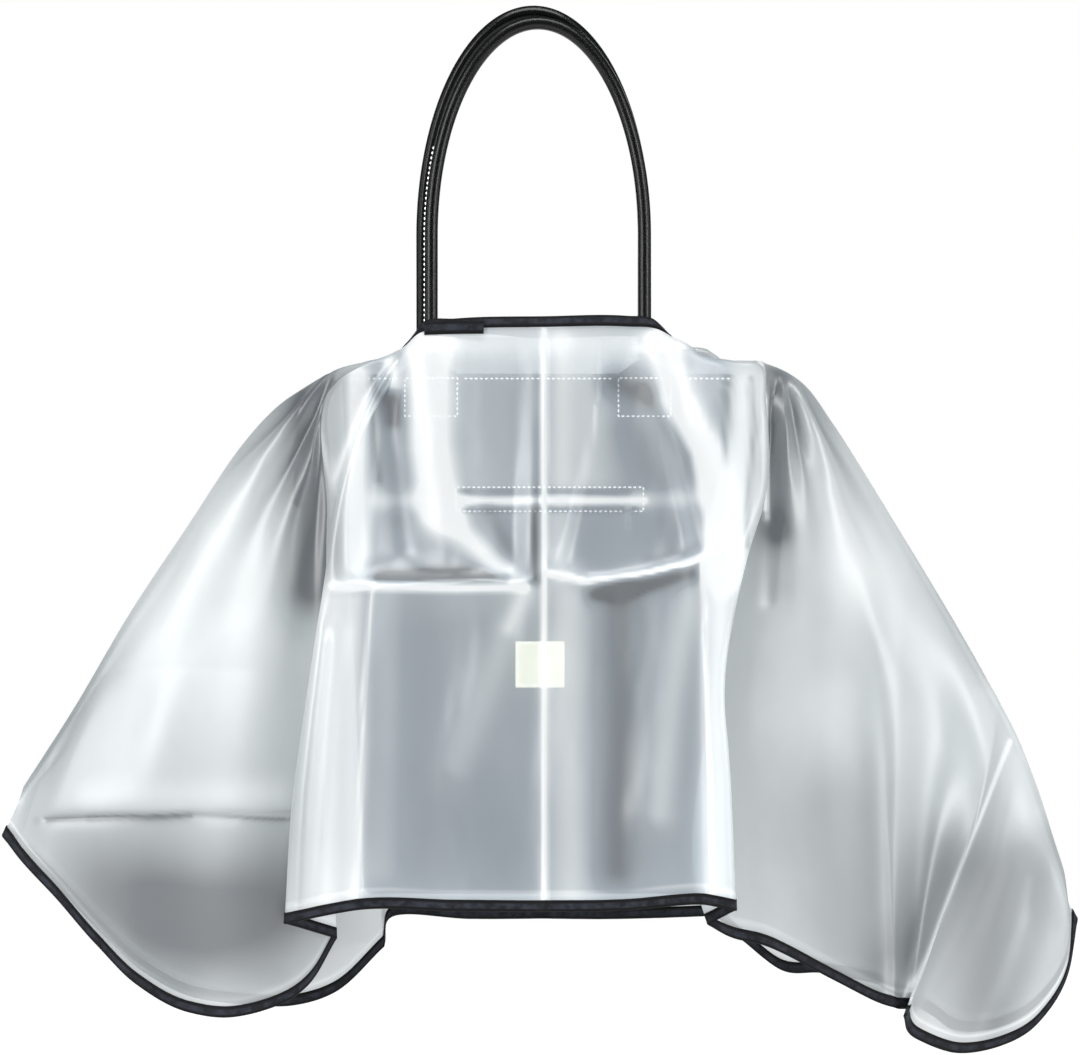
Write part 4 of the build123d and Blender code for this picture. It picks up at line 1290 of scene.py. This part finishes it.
def make_handle(label):
    """One rolled handle: a leather tube with a raised stitched seam along its inner face."""
    spec = HANDLES[label]
    path, lean = handle_line(spec, 260)
    side = spec["side"]
    tangent = np.gradient(path, axis=0)
    tangent /= np.linalg.norm(tangent, axis=1, keepdims=True)
    facing = np.array([0, -side * cos(lean), -sin(lean)])
    wide = np.cross(tangent, facing)
    wide /= np.linalg.norm(wide, axis=1, keepdims=True)
    sides = 40
    rings = []
    for index in range(sides):
        angle = 2 * pi * index / sides
        off = min(angle, 2 * pi - angle)
        seam = 0.45 * np.exp(-((off / 0.40) ** 2)) - 0.40 * np.exp(-((off / 0.07) ** 2))
        radius = (HANDLE_RADIUS + seam) * MM
        rings.append(path + radius * (facing * cos(angle) + wide * sin(angle)))
    grid = np.stack(rings, axis=1)
    ends = []
    for index, share in ((0, -1), (-1, 1)):
        ends.append(dome(grid[index], path[index], tangent[index] * share))
    grid = np.concatenate([ends[0][::-1], grid, ends[1]])
    obj = ring_object(f"{label}_handle_leather", grid)
    body = f"{label}_handle"
    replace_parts(dress(obj, "handle_leather", body), f"{label}_handle_tube")
    out = facing * cos(SEAM_TURN) + wide * sin(SEAM_TURN)
    row = path + HANDLE_RADIUS * MM * out
    low = path[:, 2] < SEAM_TOP_Z * MM
    for leg, sign in (("left", -1), ("right", 1)):
        keep = low & (np.sign(path[:, 0]) == sign) & (path[:, 2] > (PIVOT_Z + 3) * MM)
        stitch_row(f"{label}_handle_{leg}_stitching", row[keep], body, out[keep], 0.3)


def dome(ring, centre, out):
    """Rings that close a tube's end with half a ball."""
    radius = HANDLE_RADIUS * MM
    rings = []
    for angle in np.linspace(15, 84, 6):
        scale = cos(radians(angle))
        rings.append(centre + (ring - centre) * scale + out * radius * sin(radians(angle)))
    return np.array(rings)


# ---- CAD pieces that keep their shape ---------------------------------------------------
CAD_FINISHES = {
    "front_tab_left": "leather", "front_tab_right": "leather", "back_tab_left": "leather",
    "back_tab_right": "leather", "base_stiffener": "board", "pocket_pouch": "lining",
    "zip_tape": "zip_tape", "zip_teeth": "zip_metal", "zip_end_stops": "zip_metal",
    "zip_slider": "zip_metal", "zip_pull": "zip_metal", "label_patch": "label",
    "front_handle_core": "cord", "back_handle_core": "cord",
}
SOFT_EDGES = {
    "front_tab_left": 0.7, "front_tab_right": 0.7, "back_tab_left": 0.7, "back_tab_right": 0.7,
    "label_patch": 0.45, "zip_teeth": 0.35, "zip_slider": 0.25, "zip_pull": 0.3, "zip_end_stops": 0.3,
}


def finish_cad_nodes():
    """Materials for the CAD pieces that stay, and softened edges where the real ones are soft."""
    for name, material in CAD_FINISHES.items():
        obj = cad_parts[name]
        obj.data.materials.clear()
        obj.data.materials.append(MATERIALS[material])
        if name in SOFT_EDGES:
            bevel = obj.modifiers.new("soft_edges", "BEVEL")
            bevel.width = SOFT_EDGES[name] * MM
            bevel.segments = 3
            bevel.limit_method = "ANGLE"


# ---- stage ----------------------------------------------------------------------------
CAMERA_DISTANCE = 5.0
CAMERA_Z = -0.3582
VIEW_WIDTH = 0.7776
SENSOR = 36.0
FLOOR_DROP = 0.02
FLOOR_HALF = 1.6
LIGHTS_AIM = (0, 0, -0.38)
AMBIENT = (0.72, 0.86, 1.0, 1)
AMBIENT_STRENGTH = 0.10
# Each softbox: its name, place, width and height, and power.
SOFTBOXES = [
    ("key", (-1.9, -1.8, 0.5), (0.9, 1.8), 40.5),
    ("fill", (1.9, -1.7, 0.4), (0.7, 1.6), 29),
    ("left_strip", (-2.0, -0.3, -0.3), (0.5, 1.8), 5),
    ("right_strip", (2.0, -0.3, 0.0), (0.5, 1.6), 5),
    ("top", (0, -0.6, 1.5), (1.6, 0.6), 22),
    ("back", (0, 2.2, -0.1), (2.4, 2.0), 16),
]


def make_camera():
    data = bpy.data.cameras.new("camera")
    camera = bpy.data.objects.new("camera", data)
    bpy.context.scene.collection.objects.link(camera)
    camera.location = (0, -CAMERA_DISTANCE, CAMERA_Z)
    camera.rotation_euler = (pi / 2, 0, 0)
    data.sensor_width = SENSOR
    data.lens = SENSOR * CAMERA_DISTANCE / VIEW_WIDTH
    bpy.context.scene.camera = camera


def softbox(name, place, size, power):
    """A rectangular light aimed at the middle of the object."""
    data = bpy.data.lights.new(name, "AREA")
    data.shape = "RECTANGLE"
    data.size, data.size_y = size
    data.energy = power
    light = bpy.data.objects.new(name, data)
    bpy.context.scene.collection.objects.link(light)
    light.location = place
    direction = Vector(LIGHTS_AIM) - Vector(place)
    light.rotation_euler = direction.to_track_quat("-Z", "Y").to_euler()
    light.visible_camera = False


def make_stage():
    """The floor, the lights and a world that is white only to the camera."""
    low = CAD_BOX[0].z - FLOOR_DROP
    ends = (-FLOOR_HALF, FLOOR_HALF)
    grid = np.array([[(x, y, low) for y in ends] for x in ends])
    floor = grid_object("floor", grid)
    floor.data.materials.append(floor_material())
    for softbox_spec in SOFTBOXES:
        softbox(*softbox_spec)
    world = bpy.data.worlds.new("studio")
    world.use_nodes = True
    tree = world.node_tree
    tree.nodes.clear()
    path = tree.nodes.new("ShaderNodeLightPath")
    seen = tree.nodes.new("ShaderNodeBackground")
    seen.inputs["Color"].default_value = (1, 1, 1, 1)
    ambient = tree.nodes.new("ShaderNodeBackground")
    ambient.inputs["Color"].default_value = AMBIENT
    ambient.inputs["Strength"].default_value = AMBIENT_STRENGTH
    mix = tree.nodes.new("ShaderNodeMixShader")
    out = tree.nodes.new("ShaderNodeOutputWorld")
    tree.links.new(path.outputs["Is Camera Ray"], mix.inputs[0])
    tree.links.new(ambient.outputs[0], mix.inputs[1])
    tree.links.new(seen.outputs[0], mix.inputs[2])
    tree.links.new(mix.outputs[0], out.inputs["Surface"])
    bpy.context.scene.world = world
    bpy.context.scene.view_settings.view_transform = "Standard"


make_camera()
make_stage()
front_film, front_hem = make_front()
back_film, back_hem = make_back()
left_film, left_hem = make_side(
    "left", LEFT_SIDE, LEFT_BACK_HEM, BACK_COLUMNS[0], LEFT_CREASES, LEFT_LIGHT_AND_SHADE, ()
)
right_film, right_hem = make_side(
    "right", RIGHT_SIDE, RIGHT_BACK_HEM, BACK_COLUMNS[-1], RIGHT_CREASES, RIGHT_LIGHT_AND_SHADE, (LOBE_RIDGE,)
)
make_neck()
make_bag()
make_stitching()
make_handle("front")
make_handle("back")
finish_cad_nodes()
